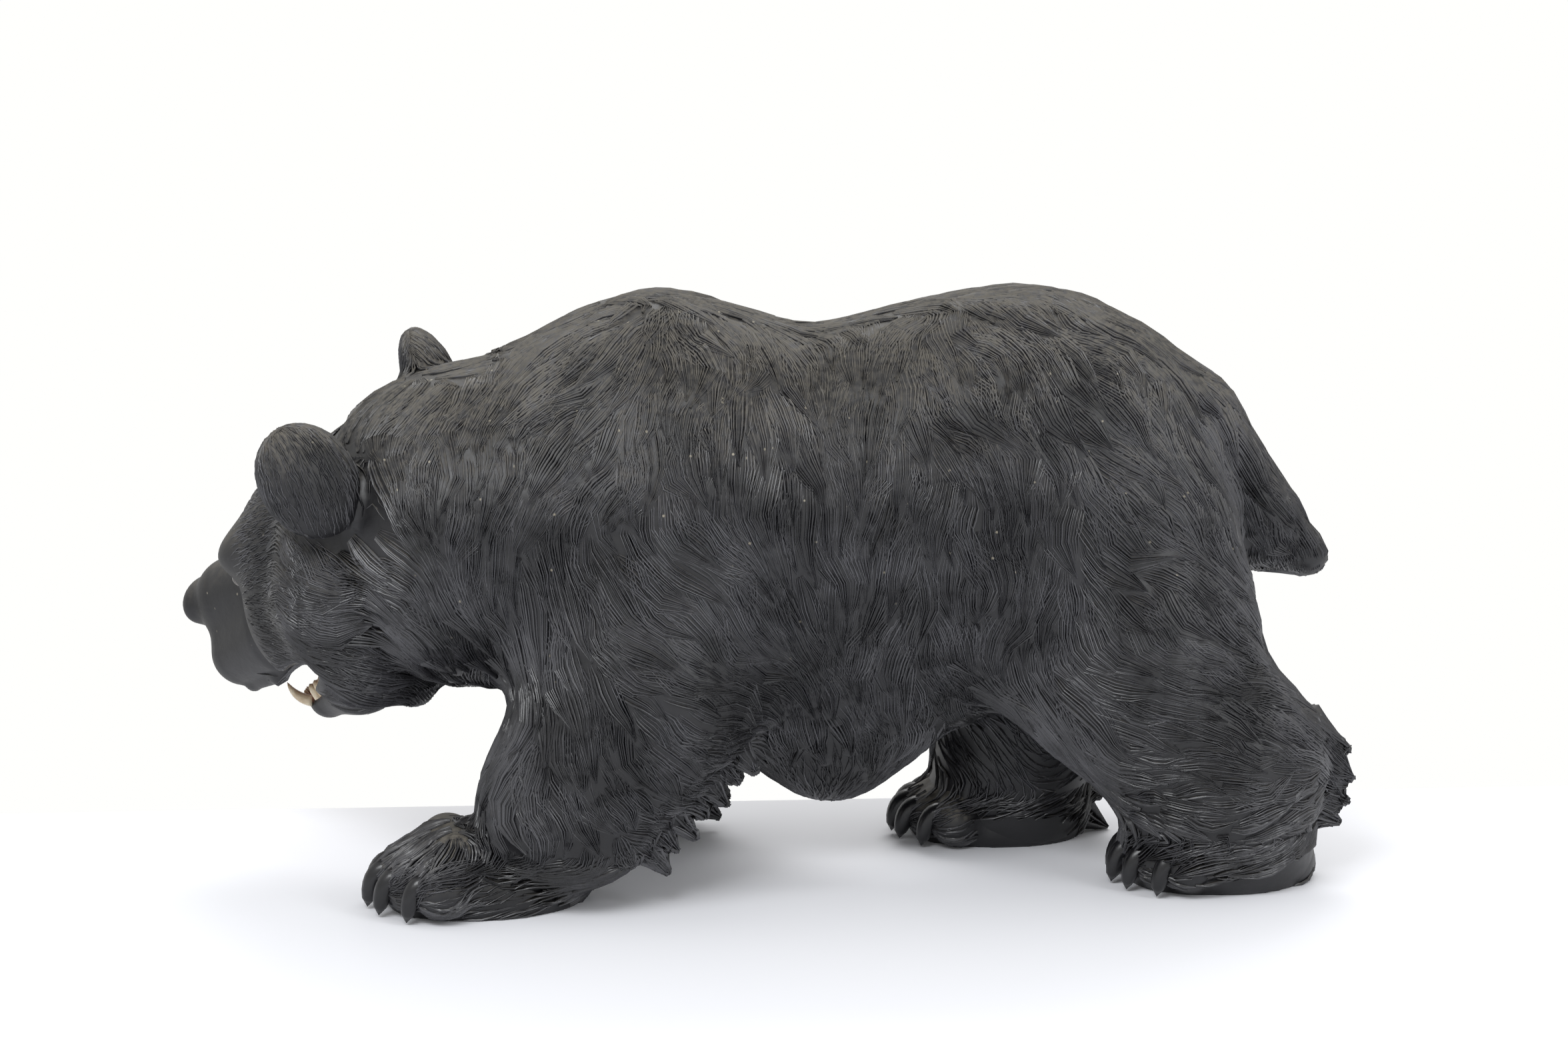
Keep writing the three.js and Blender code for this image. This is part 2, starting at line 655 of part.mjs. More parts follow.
// Teeth in the head's frame: a fang at the front of each jaw, then a row of lower molars. The
// fangs bend and the molars stand up, each as a share of its own length.
const molarCount = 4;
const fangRadius = 4.4;
const molarRadius = 3.6;
function tooth(root, length, radius, bendShare, tipShare) {
  const [bend, tip] = [bendShare, tipShare].map((share) =>
    root.clone().addScaledVector(new THREE.Vector3(...share), length),
  );
  return horn(root, bend, tip, radius, { sides: 5 }).applyMatrix4(headFrame);
}
function teethOn(side) {
  const fang = (root, bendShare, tipShare) => tooth(root, fangLength, fangRadius, bendShare, tipShare);
  const upperFang = fang(spot(-118, side * 10, -46), [-0.14, side * 0.1, -0.5], [0.14, side * 0.05, -1]);
  const lowerFang = fang(spot(-92, side * 10, -82), [-0.5, side * 0.14, 0.3], [-0.5, side * 0.1, 0.86]);
  const molars = Array.from({ length: molarCount }, (_, i) => {
    const root = spot(-52 - i * 8, side * (19 - i * 1.5), -70 - i * 3);
    return tooth(root, molarLength, molarRadius, [-0.12, 0, 0.6], [-0.25, 0, 1]);
  });
  return [upperFang, lowerFang, ...molars];
}

// An eye, low under its brow, in the head's frame.
function eyeOn(side) {
  const ball = new THREE.SphereGeometry(eyeWidth / 2, 8, 6);
  return ball.translate(...spot(-78, side * 28, 5).toArray()).applyMatrix4(headFrame);
}

// JOINING. All of the forms become one solid, and the floor plane cuts its soles flat.
const wasm = await Module();
wasm.setup();
function solidOf(geometry) {
  const bare = geometry.clone();
  bare.deleteAttribute("normal");
  bare.deleteAttribute("uv");
  const merged = mergeVertices(bare, 1e-4);
  return new wasm.Manifold(
    new wasm.Mesh({
      numProp: 3,
      vertProperties: merged.attributes.position.array,
      triVerts: new Uint32Array(merged.index.array),
    }),
  );
}

const skinLow = [-350, -140, -40].map(sized);
const skinHigh = [345, 140, 350].map(sized);
const net = polygonise(wholeBear, skinLow, skinHigh, sized(netCell));
const skin = skinGeometry(thin(raiseLocks(net, wholeBear), facetTarget));
const smallForms = [...paws.flatMap(clawsOf), ...both(teethOn), ...both(eyeOn)];
const floorDepth = bearLength / 6;
const underFloor = new THREE.BoxGeometry(2 * bearLength, bearLength, floorDepth);
underFloor.translate(0, 0, -floorDepth / 2);
const joined = smallForms.reduce((solid, form) => solid.add(solidOf(form)), solidOf(skin));
const solid = joined.subtract(solidOf(underFloor));

const { vertProperties, triVerts } = solid.getMesh();
const carved = new THREE.BufferGeometry();
carved.setAttribute("position", new THREE.BufferAttribute(vertProperties, 3));
carved.setIndex(new THREE.BufferAttribute(triVerts, 1));

// The origin is on the floor under the middle of the bear's box.
carved.computeBoundingBox();
const boxMiddle = carved.boundingBox.getCenter(new THREE.Vector3());
carved.translate(-boxMiddle.x, -boxMiddle.y, 0);

const stone = new THREE.MeshStandardMaterial({ color: 0x2b2b2c, roughness: 0.5, metalness: 0 });
const bear = new THREE.Mesh(carved, stone);
bear.name = "bear";
const group = new THREE.Group();
group.add(bear);
export default group;
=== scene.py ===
# %% [markdown]
# A stone bear, walking, with its head low and turned aside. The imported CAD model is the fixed
# frame: it says how large the bear is and where it stands. This file dresses it. The sizes
# below are in millimetres, because a carver thinks in them, and a mesh is brought to metres
# when it is made.

# %% The frame and the helpers' home
import math

import bmesh
import bpy
import numpy as np
from mathutils import Matrix, Vector
from mathutils.kdtree import KDTree


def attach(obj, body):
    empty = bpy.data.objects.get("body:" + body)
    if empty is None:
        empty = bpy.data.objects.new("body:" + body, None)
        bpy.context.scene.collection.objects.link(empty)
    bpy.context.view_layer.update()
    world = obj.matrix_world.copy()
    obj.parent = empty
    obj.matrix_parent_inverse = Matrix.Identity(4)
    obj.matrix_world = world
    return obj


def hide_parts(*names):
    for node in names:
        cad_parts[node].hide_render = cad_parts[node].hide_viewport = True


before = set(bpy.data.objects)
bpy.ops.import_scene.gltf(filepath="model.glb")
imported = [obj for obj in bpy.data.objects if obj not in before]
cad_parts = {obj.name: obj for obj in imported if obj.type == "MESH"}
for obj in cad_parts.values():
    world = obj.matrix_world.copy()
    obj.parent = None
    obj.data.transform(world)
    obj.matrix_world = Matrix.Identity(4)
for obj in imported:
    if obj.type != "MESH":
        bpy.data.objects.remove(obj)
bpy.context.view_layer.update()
MM = 0.001
chance = np.random.default_rng(7)

# %% [markdown]
# The photograph was taken a little from the front of the bear's left side, from just above it
# and from about two metres away. The camera looks along three axes: right, up and back.

# %% Camera
camera_target = Vector((13.2, -2.4, 197.5)) * MM
camera_distance = 2.2
azimuth, elevation = math.radians(-6.0), math.radians(11.5)
right = Vector((math.cos(azimuth), math.sin(azimuth), 0))
level = Vector((math.sin(azimuth), -math.cos(azimuth), 0))
back = level * math.cos(elevation) + Vector((0, 0, math.sin(elevation)))
up = back.cross(right)
lens = bpy.data.cameras.new("camera")
lens.sensor_width = 36
lens.lens = 91.0
camera = bpy.data.objects.new("camera", lens)
camera.matrix_world = Matrix.Translation(camera_target + back * camera_distance) @ Matrix(
    (right, up, back)
).transposed().to_4x4()
bpy.context.scene.collection.objects.link(camera)
bpy.context.scene.camera = camera

# %% [markdown]
# A mesh is made from two tables: its points, in millimetres, and its faces, as numbers of
# points. This helper brings them to metres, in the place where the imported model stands.

# %% Meshes from tables
CENTRING = np.array([6.2, -2.4, 0.0])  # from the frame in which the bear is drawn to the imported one


def mesh_object(name, points, faces=(), edges=(), smooth=True):
    mesh = bpy.data.meshes.new(name)
    placed_points = (np.asarray(points, float) + CENTRING) * MM
    mesh.from_pydata(placed_points.tolist(), np.asarray(edges).tolist(), np.asarray(faces).tolist())
    mesh.update()
    if smooth and len(mesh.polygons):
        mesh.shade_smooth()
    made = bpy.data.objects.new(name, mesh)
    bpy.context.scene.collection.objects.link(made)
    return made


def add_numbers(made, name, values):
    layer = made.data.attributes.new(name, "FLOAT", "POINT")
    layer.data.foreach_set("value", np.asarray(values, np.float32))


def add_arrows(made, name, arrows):
    layer = made.data.attributes.new(name, "FLOAT_VECTOR", "POINT")
    layer.data.foreach_set("vector", np.asarray(arrows, np.float32).ravel())


# %% [markdown]
# The stone under the fur is round and smooth, and its forms melt into one another. A distance
# field says this well: each form is a function that gives every point's distance to its
# surface, and two forms join by taking the lower distance, rounded off where they are alike.
# These are the forms of the CAD model, so the dressed bear has the same limbs, and the same
# field later tells the fur where the surface is. Every form knows a ball round itself and is
# asked only about points near that ball, which keeps this quick.

# %% Forms
FAR = 150.0  # the distance told of a point that no form is near
NEAR = 32.0  # how far outside its ball a form is still asked


class Form:
    def __init__(self, middle, reach, measure):
        self.middle = np.asarray(middle, float)
        self.reach = reach
        self.measure = measure

    def __call__(self, points):
        return self.measure(points)

    def is_near(self, points):
        return ((points - self.middle) ** 2).sum(1) < (self.reach + NEAR) ** 2


def egg(middle, half_widths):
    middle, half_widths = np.asarray(middle, float), np.asarray(half_widths, float)

    def measure(points):
        share = (points - middle) / half_widths
        reach = np.sqrt((share**2).sum(1)) + 1e-9
        slope = np.sqrt(((share / half_widths) ** 2).sum(1)) + 1e-9
        return reach * (reach - 1) / slope

    return Form(middle, half_widths.max(), measure)


def limb(start, start_radius, end, end_radius):
    start, end = np.asarray(start, float), np.asarray(end, float)
    way = end - start
    length_squared = max(float(way @ way), 1e-9)

    def measure(points):
        away = points - start
        share = np.clip(away @ way / length_squared, 0, 1)
        gap = away - share[:, None] * way
        return np.sqrt((gap**2).sum(1)) - (start_radius + (end_radius - start_radius) * share)

    reach = math.sqrt(length_squared) / 2 + max(start_radius, end_radius)
    return Form((start + end) / 2, reach, measure)


def melt(d1, d2, width):
    overlap = np.maximum(width - np.abs(d1 - d2), 0) / width
    return np.minimum(d1, d2) - overlap**2 * width / 4


def join(width, *forms):
    low = np.min([form.middle - form.reach for form in forms], 0)
    high = np.max([form.middle + form.reach for form in forms], 0)

    def measure(points):
        d = np.full(len(points), FAR)
        for form in forms:
            near = form.is_near(points)
            if near.any():
                d[near] = melt(d[near], form(points[near]), width)
        return d

    return Form((low + high) / 2, float(np.linalg.norm(high - low)) / 2, measure)


def carve(width, form, cutter):
    def measure(points):
        d = form(points)
        near = cutter.is_near(points)
        if near.any():
            d[near] = -melt(-d[near], cutter(points[near]), width)
        return d

    return Form(form.middle, form.reach, measure)


def turned(roll_x, pitch_y, yaw_z):
    turns = (("Z", yaw_z), ("Y", pitch_y), ("X", roll_x))
    matrix = Matrix.Identity(3)
    for axis, angle in turns:
        matrix = matrix @ Matrix.Rotation(math.radians(angle), 3, axis)
    return np.array(matrix)


class Place:
    """A frame of a form's own, such as the head's: an origin and turned axes."""

    def __init__(self, origin, roll_x=0, pitch_y=0, yaw_z=0):
        self.origin = np.asarray(origin, float)
        self.axes = turned(roll_x, pitch_y, yaw_z)

    def inside(self, points):
        return (points - self.origin) @ self.axes

    def outside(self, points):
        return np.asarray(points, float) @ self.axes.T + self.origin

    def put(self, form):
        return Form(self.outside(form.middle), form.reach, lambda points: form(self.inside(points)))


def both(make):
    return [form for side in (-1, 1) for form in make(side)]


# %% [markdown]
# The trunk is a barrel with a hump over the shoulders, a round rump and a belly that hangs to a
# keel. Each leg is a thick shoulder or thigh over a column. All four legs stand in mid-stride.

# %% Trunk, legs and tail
trunk = join(
    40,
    egg([-45, 0, 200], [100, 86, 108]),
    egg([-68, 0, 256], [56, 46, 64]),
    egg([50, 0, 198], [130, 88, 108]),
    egg([136, 0, 218], [112, 82, 108]),
    egg([186, 0, 226], [54, 50, 54]),
    egg([30, 0, 128], [90, 56, 70]),
    egg([34, 0, 78], [30, 16, 36]),
    limb([-70, 0, 216], 90, [-166, 4, 200], 88),
)
left_fore = join(
    30,
    egg([-76, -50, 175], [74, 44, 74]),
    limb([-84, -62, 128], 52, [-120, -64, 58], 45),
    limb([-64, -66, 110], 42, [-102, -64, 62], 34),
)
right_fore = join(
    30,
    egg([-66, 50, 175], [70, 42, 72]),
    limb([-60, 62, 128], 48, [-72, 74, 52], 38),
    limb([-40, 68, 95], 34, [-58, 74, 42], 30),
)
left_hind = join(
    30,
    egg([186, -42, 156], [74, 48, 86]),
    limb([204, -52, 118], 55, [236, -54, 66], 54),
    limb([254, -54, 64], 46, [255, -52, 28], 38),
)
right_hind = join(
    30,
    egg([168, 42, 152], [76, 44, 82]),
    limb([162, 50, 108], 48, [140, 52, 52], 40),
    limb([156, 52, 60], 34, [154, 52, 26], 30),
)
tail = join(
    14,
    limb([230, 0, 247], 32, [270, 0, 196], 25),
    limb([270, 0, 192], 22, [302, 0, 174], 11),
)
trunk_and_legs = join(28, trunk, left_fore, right_fore, left_hind, right_hind)

# %% [markdown]
# A bear walks on the whole sole. Each paw is a pad with five toes side by side, and the toes
# part in short grooves at the front, where the claws come out.

# %% Paws
TOES = 5


class Paw:
    def __init__(self, name, at, yaw, length, width, height):
        self.name = name
        self.place = Place(at, yaw_z=yaw)
        self.length, self.width, self.height = length, width, height

    def toes(self):
        """Each toe's root, knuckle, radius and splay, in the paw's own frame."""
        for i in range(TOES):
            across = i / (TOES - 1) - 0.5
            root = [-self.length * 0.02, across * self.width * 0.5, self.height * 0.6]
            forward = self.length * (0.5 * across * across - 0.22)
            knuckle = [forward, across * self.width * 0.82, self.height * 0.35]
            yield root, knuckle, self.height * 0.32, across

    def form(self):
        toes = [limb(root, radius, knuckle, radius * 0.92) for root, knuckle, radius, _ in self.toes()]
        pad = egg(
            [self.length * 0.12, 0, self.height * 0.2],
            [self.length * 0.4, self.width * 0.46, self.height * 0.66],
        )
        return self.place.put(join(8, pad, join(3, *toes)))


paws = [
    Paw("left_fore", [-178, -56, 0], 6, 136, 78, 50),
    Paw("right_fore", [-116, 78, 0], -8, 124, 76, 46),
    Paw("left_hind", [232, -52, 0], 5, 132, 74, 48),
    Paw("right_hind", [122, 54, 0], -5, 124, 72, 46),
]

# %% [markdown]
# The head has a frame of its own: its origin is the middle of the skull and the nose points to
# -X. It is drawn straight, then dipped, tilted and turned to the bear's right. Beside the main
# forms of the CAD model it has the small ones that a face needs close up: lids, the rims of the
# lips and the furrow under the nose. Shallow cuts open the corners of the mouth, so that the
# teeth show behind the cheeks, and the ears turn further inwards than the CAD model's.

# %% Head
head_place = Place([-218, 10, 195], roll_x=17, pitch_y=-19, yaw_z=-40)
skull = join(
    24,
    egg([4, 0, 6], [66, 58, 52]),
    egg([-42, 0, 14], [38, 45, 32]),
    *both(lambda side: [egg([-32, side * 40, -26], [44, 26, 42])]),
)
ruff = both(
    lambda side: [
        limb([4, side * 52, 22], 10, [-4, side * 58, -14], 18),
        limb([-4, side * 58, -14], 18, [-14, side * 44, -54], 17),
        limb([-14, side * 44, -54], 17, [-8, side * 20, -78], 16),
    ]
)
brows = both(lambda side: [egg([-68, side * 28, 19], [16, 15, 11])])
muzzle = join(
    12,
    limb([-62, 0, -14], 32, [-118, 0, -14], 24),
    *both(lambda side: [limb([-84, side * 18, -36], 24, [-118, side * 15, -42], 19)]),
)
palate = limb([-50, 0, -68], 17, [-124, 0, -66], 13)
nose_pad = egg([-140, 0, -10], [10, 19, 13])
nostrils = both(
    lambda side: [
        limb([-151, side * 6.5, -11], 2.6, [-145, side * 8, -10], 2.8),
        limb([-147, side * 9, -10], 2.0, [-142, side * 14, -9], 1.4),
    ]
)
furrow = limb([-153, 0, -18], 1.6, [-146, 0, -44], 1.6)
lower_jaw = join(
    10,
    limb([-20, 0, -58], 30, [-60, 0, -78], 21),
    limb([-60, 0, -78], 20, [-90, 0, -86], 12),
)
jaw_trough = limb([-46, 0, -64], 12, [-90, 0, -76], 7)
tongue = join(4, limb([-46, 0, -72], 12, [-66, 0, -77], 9), limb([-66, 0, -77], 9, [-86, 0, -80], 6))
lids = both(
    lambda side: [
        limb([-86, side * 19, 4], 3.4, [-81, side * 27, 13], 4.2),
        limb([-81, side * 27, 13], 4.2, [-70, side * 37, 6], 3.4),
        limb([-86, side * 19, 3], 2.6, [-80, side * 29, -4], 2.8),
        limb([-80, side * 29, -4], 2.8, [-70, side * 37, 4], 2.6),
    ]
)
lip_rims = both(
    lambda side: [
        limb([-133, side * 7, -52], 4.0, [-116, side * 22, -59], 4.2),
        limb([-116, side * 22, -59], 4.2, [-88, side * 31, -56], 4.0),
        limb([-88, side * 31, -56], 4.0, [-66, side * 30, -50], 3.4),
    ]
)
EAR_THICKNESS = 13


def ear_middle(side):
    return [31, side * 63, 55]


def ear_form(side):
    shell = egg([0, 0, 0], [EAR_THICKNESS, 27, 33])
    hollow = egg([-EAR_THICKNESS * 1.15, side * 3, 4], [EAR_THICKNESS, 15, 20])
    ear_place = Place(ear_middle(side), roll_x=side * -14, yaw_z=side * 25)
    return ear_place.put(carve(5, shell, hollow))


face = join(9, join(16, join(26, skull, *ruff), *brows), muzzle)
mouthless = join(5, join(3, carve(6, face, palate), *lip_rims), nose_pad)
jaw_and_face = join(4, mouthless, carve(5, lower_jaw, jaw_trough))
eye_hollows = both(lambda side: [egg([-80, side * 28, 5], [8, 8, 7])])
mouth_corners = both(
    lambda side: [
        limb([-86, side * 11, -68], 7, [-42, side * 69, -48], 10),
        limb([-72, side * 16, -66], 6, [-28, side * 74, -46], 7),
    ]
)
open_face = carve(4, carve(3, jaw_and_face, join(2, *eye_hollows)), join(4, *mouth_corners))
head_form = join(
    4,
    carve(1.5, carve(2, join(3, open_face, *lids), join(3, *nostrils)), furrow),
    tongue,
    *both(lambda side: [ear_form(side)]),
)
head = head_place.put(head_form)

# %% [markdown]
# The pointed tufts behind the elbows and heels stand out of the skin. A row of them runs inside
# the leg, and each one looks for the skin along its own way.

# %% Tufts
smooth_bear = join(8, join(16, trunk_and_legs, *[paw.form() for paw in paws], tail), head)
TUFT_RADIUS = 11
TUFT_LENGTH = 14
tuft_rows = [
    ([-50, -66, 112], [-108, -66, 68], [0.66, -0.15, -0.72], 7),
    ([-52, -54, 100], [-104, -54, 66], [0.66, 0.2, -0.72], 5),
    ([-46, 68, 92], [-58, 74, 34], [0.8, 0.05, -0.6], 5),
    ([-46, 82, 84], [-58, 86, 34], [0.7, 0.4, -0.6], 4),
    ([212, -50, 128], [248, -54, 66], [0.88, -0.1, -0.46], 7),
    ([212, -40, 122], [248, -42, 66], [0.84, 0.3, -0.46], 5),
    ([160, 54, 92], [154, 54, 32], [0.84, 0, -0.54], 5),
]


def tufts_of(start, end, toward, count):
    way = np.array(toward) / np.linalg.norm(toward)
    for i in range(count):
        on_skin = np.array(start) + (np.array(end, float) - start) * i / (count - 1)
        for _ in range(12):
            on_skin = on_skin - way * smooth_bear(on_skin[None])[0]
        yield on_skin, way, TUFT_LENGTH * (0.75 if i % 2 else 1)


tufts = [tuft for row in tuft_rows for tuft in tufts_of(*row)]
tuft_forms = [
    limb(on_skin - way * TUFT_RADIUS, TUFT_RADIUS, on_skin + way * reach, 2)
    for on_skin, way, reach in tufts
]
whole_bear = join(5, smooth_bear, *tuft_forms)


def above_floor(form):
    return Form(form.middle, form.reach, lambda points: np.maximum(form(points), -points[:, 2]))


def slope_of(form, points, step=0.4):
    """Unit vectors along which a form's distance grows fastest, from four samples round each point."""
    corners = np.array([(1, -1, -1), (-1, -1, 1), (-1, 1, -1), (1, 1, 1)], float)
    total = sum(corner * form(points + corner * step)[:, None] for corner in corners)
    return total / (np.linalg.norm(total, axis=1)[:, None] + 1e-12)


def onto(form, points, rounds=3):
    """Moves points to a form's surface, and gives the slopes there too."""
    for _ in range(rounds):
        slopes = slope_of(form, points)
        points = points - slopes * np.clip(form(points), -8, 8)[:, None]
    return points, slope_of(form, points)


print("tufts:", len(tufts))

# %% [markdown]
# To become a mesh, the field is read on a grid of points. Each cell that the surface crosses
# gets one vertex, at the middle of its crossings, and each grid edge that is crossed gets one
# four-sided face between its cells. This is called a surface net. Blender's Voxel Remesh does
# the same from a mesh, but it would copy the CAD model's facets, while the field gives the
# round stone itself. Only blocks of the grid near the surface are read.

# %% Surface nets
BLOCK = 6


def read_field(form, low, counts, cell):
    values = np.empty(counts)
    blocks = np.indices([-(-n // BLOCK) for n in counts]).reshape(3, -1).T * BLOCK
    middles = low + (blocks + (BLOCK - 1) / 2) * cell
    told = form(middles)
    is_near = np.abs(told) < BLOCK * cell * 1.1
    for block, value in zip(blocks[~is_near], told[~is_near]):
        x, y, z = block
        values[x : x + BLOCK, y : y + BLOCK, z : z + BLOCK] = value
    offsets = np.indices((BLOCK, BLOCK, BLOCK)).reshape(3, -1).T
    close = (blocks[is_near][:, None] + offsets).reshape(-1, 3)
    close = close[(close < counts).all(1)]
    values[tuple(close.T)] = form(low + close * cell)
    return values


def net_over(form, low, high, cell):
    low = np.asarray(low, float)
    counts = np.ceil((np.asarray(high) - low) / cell).astype(int) + 1
    values = read_field(form, low, counts, cell)
    inside = values < 0
    corners = [(a, b, c) for a in (0, 1) for b in (0, 1) for c in (0, 1)]
    size = [n - 1 for n in counts]
    shifted = [inside[a : a + size[0], b : b + size[1], c : c + size[2]] for a, b, c in corners]
    full = np.sum(shifted, 0)
    active = (full > 0) & (full < 8)
    number = np.full(active.shape, -1)
    number[active] = np.arange(active.sum())
    cells = np.argwhere(active)
    total, crossings = np.zeros((len(cells), 3)), np.zeros(len(cells))
    faces = []
    for axis in range(3):
        ahead = np.eye(3, dtype=int)[axis]
        side, other = np.eye(3, dtype=int)[[(axis + 1) % 3, (axis + 2) % 3]]
        for corner in (0 * side, side, other, side + other):
            start = cells + corner
            v1, v2 = values[tuple(start.T)], values[tuple((start + ahead).T)]
            is_crossed = (v1 < 0) != (v2 < 0)
            share = np.where(is_crossed, v1 / np.where(is_crossed, v1 - v2, 1), 0)
            total += (start + share[:, None] * ahead) * is_crossed[:, None]
            crossings += is_crossed
        first = np.moveaxis(inside, axis, 0)[:-1]
        second = np.moveaxis(inside, axis, 0)[1:]
        for goes_out in (True, False):
            found = np.argwhere((first != second) & (first == goes_out))
            edge = np.empty_like(found)
            order = [axis] + [n for n in range(3) if n != axis]
            edge[:, order] = found
            whole = (edge[:, [n for n in range(3) if n != axis]] > 0).all(1)
            whole &= (edge < size).all(1)
            edge = edge[whole]
            ring = [edge - side - other, edge - other, edge, edge - side]
            quad = np.stack([number[tuple(c.T)] for c in ring], 1)
            faces.append(quad if goes_out else quad[:, ::-1])
    points = low + cell * total / crossings[:, None]
    return points, np.concatenate(faces)


# %% [markdown]
# The body's stone gets a net of 4.2 mm, because fur will cover it, and the head and the paws get
# finer nets, because the face, the lips and the toes show. Under those finer pieces the body's
# own surface is sunk, so that no two surfaces lie in one place.

# %% The stone's nets
SUNK = 2.5
BODY_CELL, HEAD_CELL, PAW_CELL = 4.2, 2.1, 1.9


def sunk(form):
    return Form(form.middle, form.reach, lambda points: form(points) + SUNK)


sunk_paws = [sunk(paw.form()) for paw in paws]
sunk_bear = join(8, join(16, trunk_and_legs, *sunk_paws, tail), sunk(head))
body_field = above_floor(join(5, sunk_bear, *tuft_forms))
body_points, body_faces = net_over(body_field, [-350, -140, -7], [345, 140, 350], BODY_CELL)
body_points, body_slopes = onto(body_field, body_points)
head_points, head_faces = net_over(head, [-348, -80, 60], [-150, 118, 320], HEAD_CELL)
head_points, head_slopes = onto(head, head_points)
paw_nets = []
for paw in paws:
    paw_field = above_floor(paw.form())
    reach = np.array([paw.length * 0.62, paw.length * 0.5, 0])
    low = paw.place.origin - reach - [0, 0, 5]
    high = paw.place.origin + reach + [0, 0, paw.height * 1.1]
    points, faces = net_over(paw_field, low, high, PAW_CELL)
    paw_nets.append((*onto(paw_field, points), faces))
print("quads of body, head, paws:", len(body_faces), len(head_faces), [len(net[2]) for net in paw_nets])

# %% [markdown]
# Hair lies along a flow. These are places [x, z] on the bear's left side, each with the angle
# at which the hair runs: 0 runs back to the tail and 90 runs down. The directions were read off
# the photograph. A program outside this file laid them on an early draft of the bear and rounded
# them to 2 mm and 5 degrees, so the rows aren't worked out here. Between the places the flow is
# a mean in which the nearer ones count more. The right side mirrors it. On the head the hair
# runs back from the nose, on the ears up to their rims, and on the paws along the toes. Along
# the top of the back it runs straight to the tail.

# %% The lie of the hair
lie = np.array([
    [-144, 292, 160], [-160, 282, 100], [-168, 264, 95], [-94, 316, 155], [-108, 292, 100],
    [-116, 266, 125], [-64, 322, 105], [-76, 292, 110], [-88, 264, 130], [-124, 246, 130],
    [-170, 232, 80], [-220, 236, 65], [-228, 186, 25], [-210, 174, 45], [-242, 144, 10],
    [-214, 138, 15], [-200, 110, 45], [-188, 164, 55], [-150, 194, 105], [-150, 152, 70],
    [-124, 220, 130], [-132, 184, 95], [-128, 160, 65], [-112, 148, 40], [-102, 192, 55],
    [-84, 178, 20], [-90, 228, 85], [-66, 196, 60], [-48, 178, 45], [-20, 150, 30], [-56, 274, 105],
    [-48, 248, 75], [-38, 212, 60], [-32, 318, 60], [-22, 292, 100], [16, 308, 115], [64, 312, 110],
    [10, 290, 95], [56, 290, 80], [-10, 262, 115], [18, 264, 65], [24, 230, 90], [6, 192, 70],
    [18, 154, 75], [50, 230, 110], [56, 194, 120], [42, 172, 95], [78, 226, 80], [86, 190, 75],
    [116, 170, 95], [106, 276, 50], [94, 256, 60], [126, 270, 75], [92, 126, 55], [116, 98, 60],
    [64, 114, 85], [30, 110, 90], [132, 222, 100], [136, 188, 105], [130, 150, 105], [132, 102, 55],
    [158, 242, 55], [172, 220, 40], [186, 194, 30], [158, 170, 80], [152, 132, 70], [168, 122, 35],
    [186, 114, 10], [122, 316, 65], [158, 310, 35], [174, 288, 60], [218, 250, 55], [202, 218, 55],
    [242, 220, 65], [200, 170, 30], [222, 162, 35], [214, 136, 25], [258, 102, 20], [194, 86, -10],
    [220, 82, 0], [256, 74, 15], [238, 56, -5], [264, 236, 80], [268, 198, 75], [296, 184, 40],
    [-138, 112, 100], [-150, 98, 130], [-162, 72, 110], [-120, 116, 75], [-120, 74, 75],
    [-102, 110, 60], [-86, 110, 55], [-86, 66, 55], [-68, 98, 45], [-50, 108, 30], [-38, 120, 20],
    [-160, 40, 75],
], float)
LIE_REACH = 20.0
RUFF_LINE = -18.0  # the head's own x at which face hair gives way to long fur


def unit(arrows):
    return arrows / (np.linalg.norm(arrows, axis=1)[:, None] + 1e-9)


def along_surface(arrows, slopes):
    return unit(arrows - slopes * (arrows * slopes).sum(1)[:, None])


def ramp(values, low, high):
    """0 below low, 1 above high, and an even slope between."""
    return np.clip((values - low) / (high - low), 0, 1)


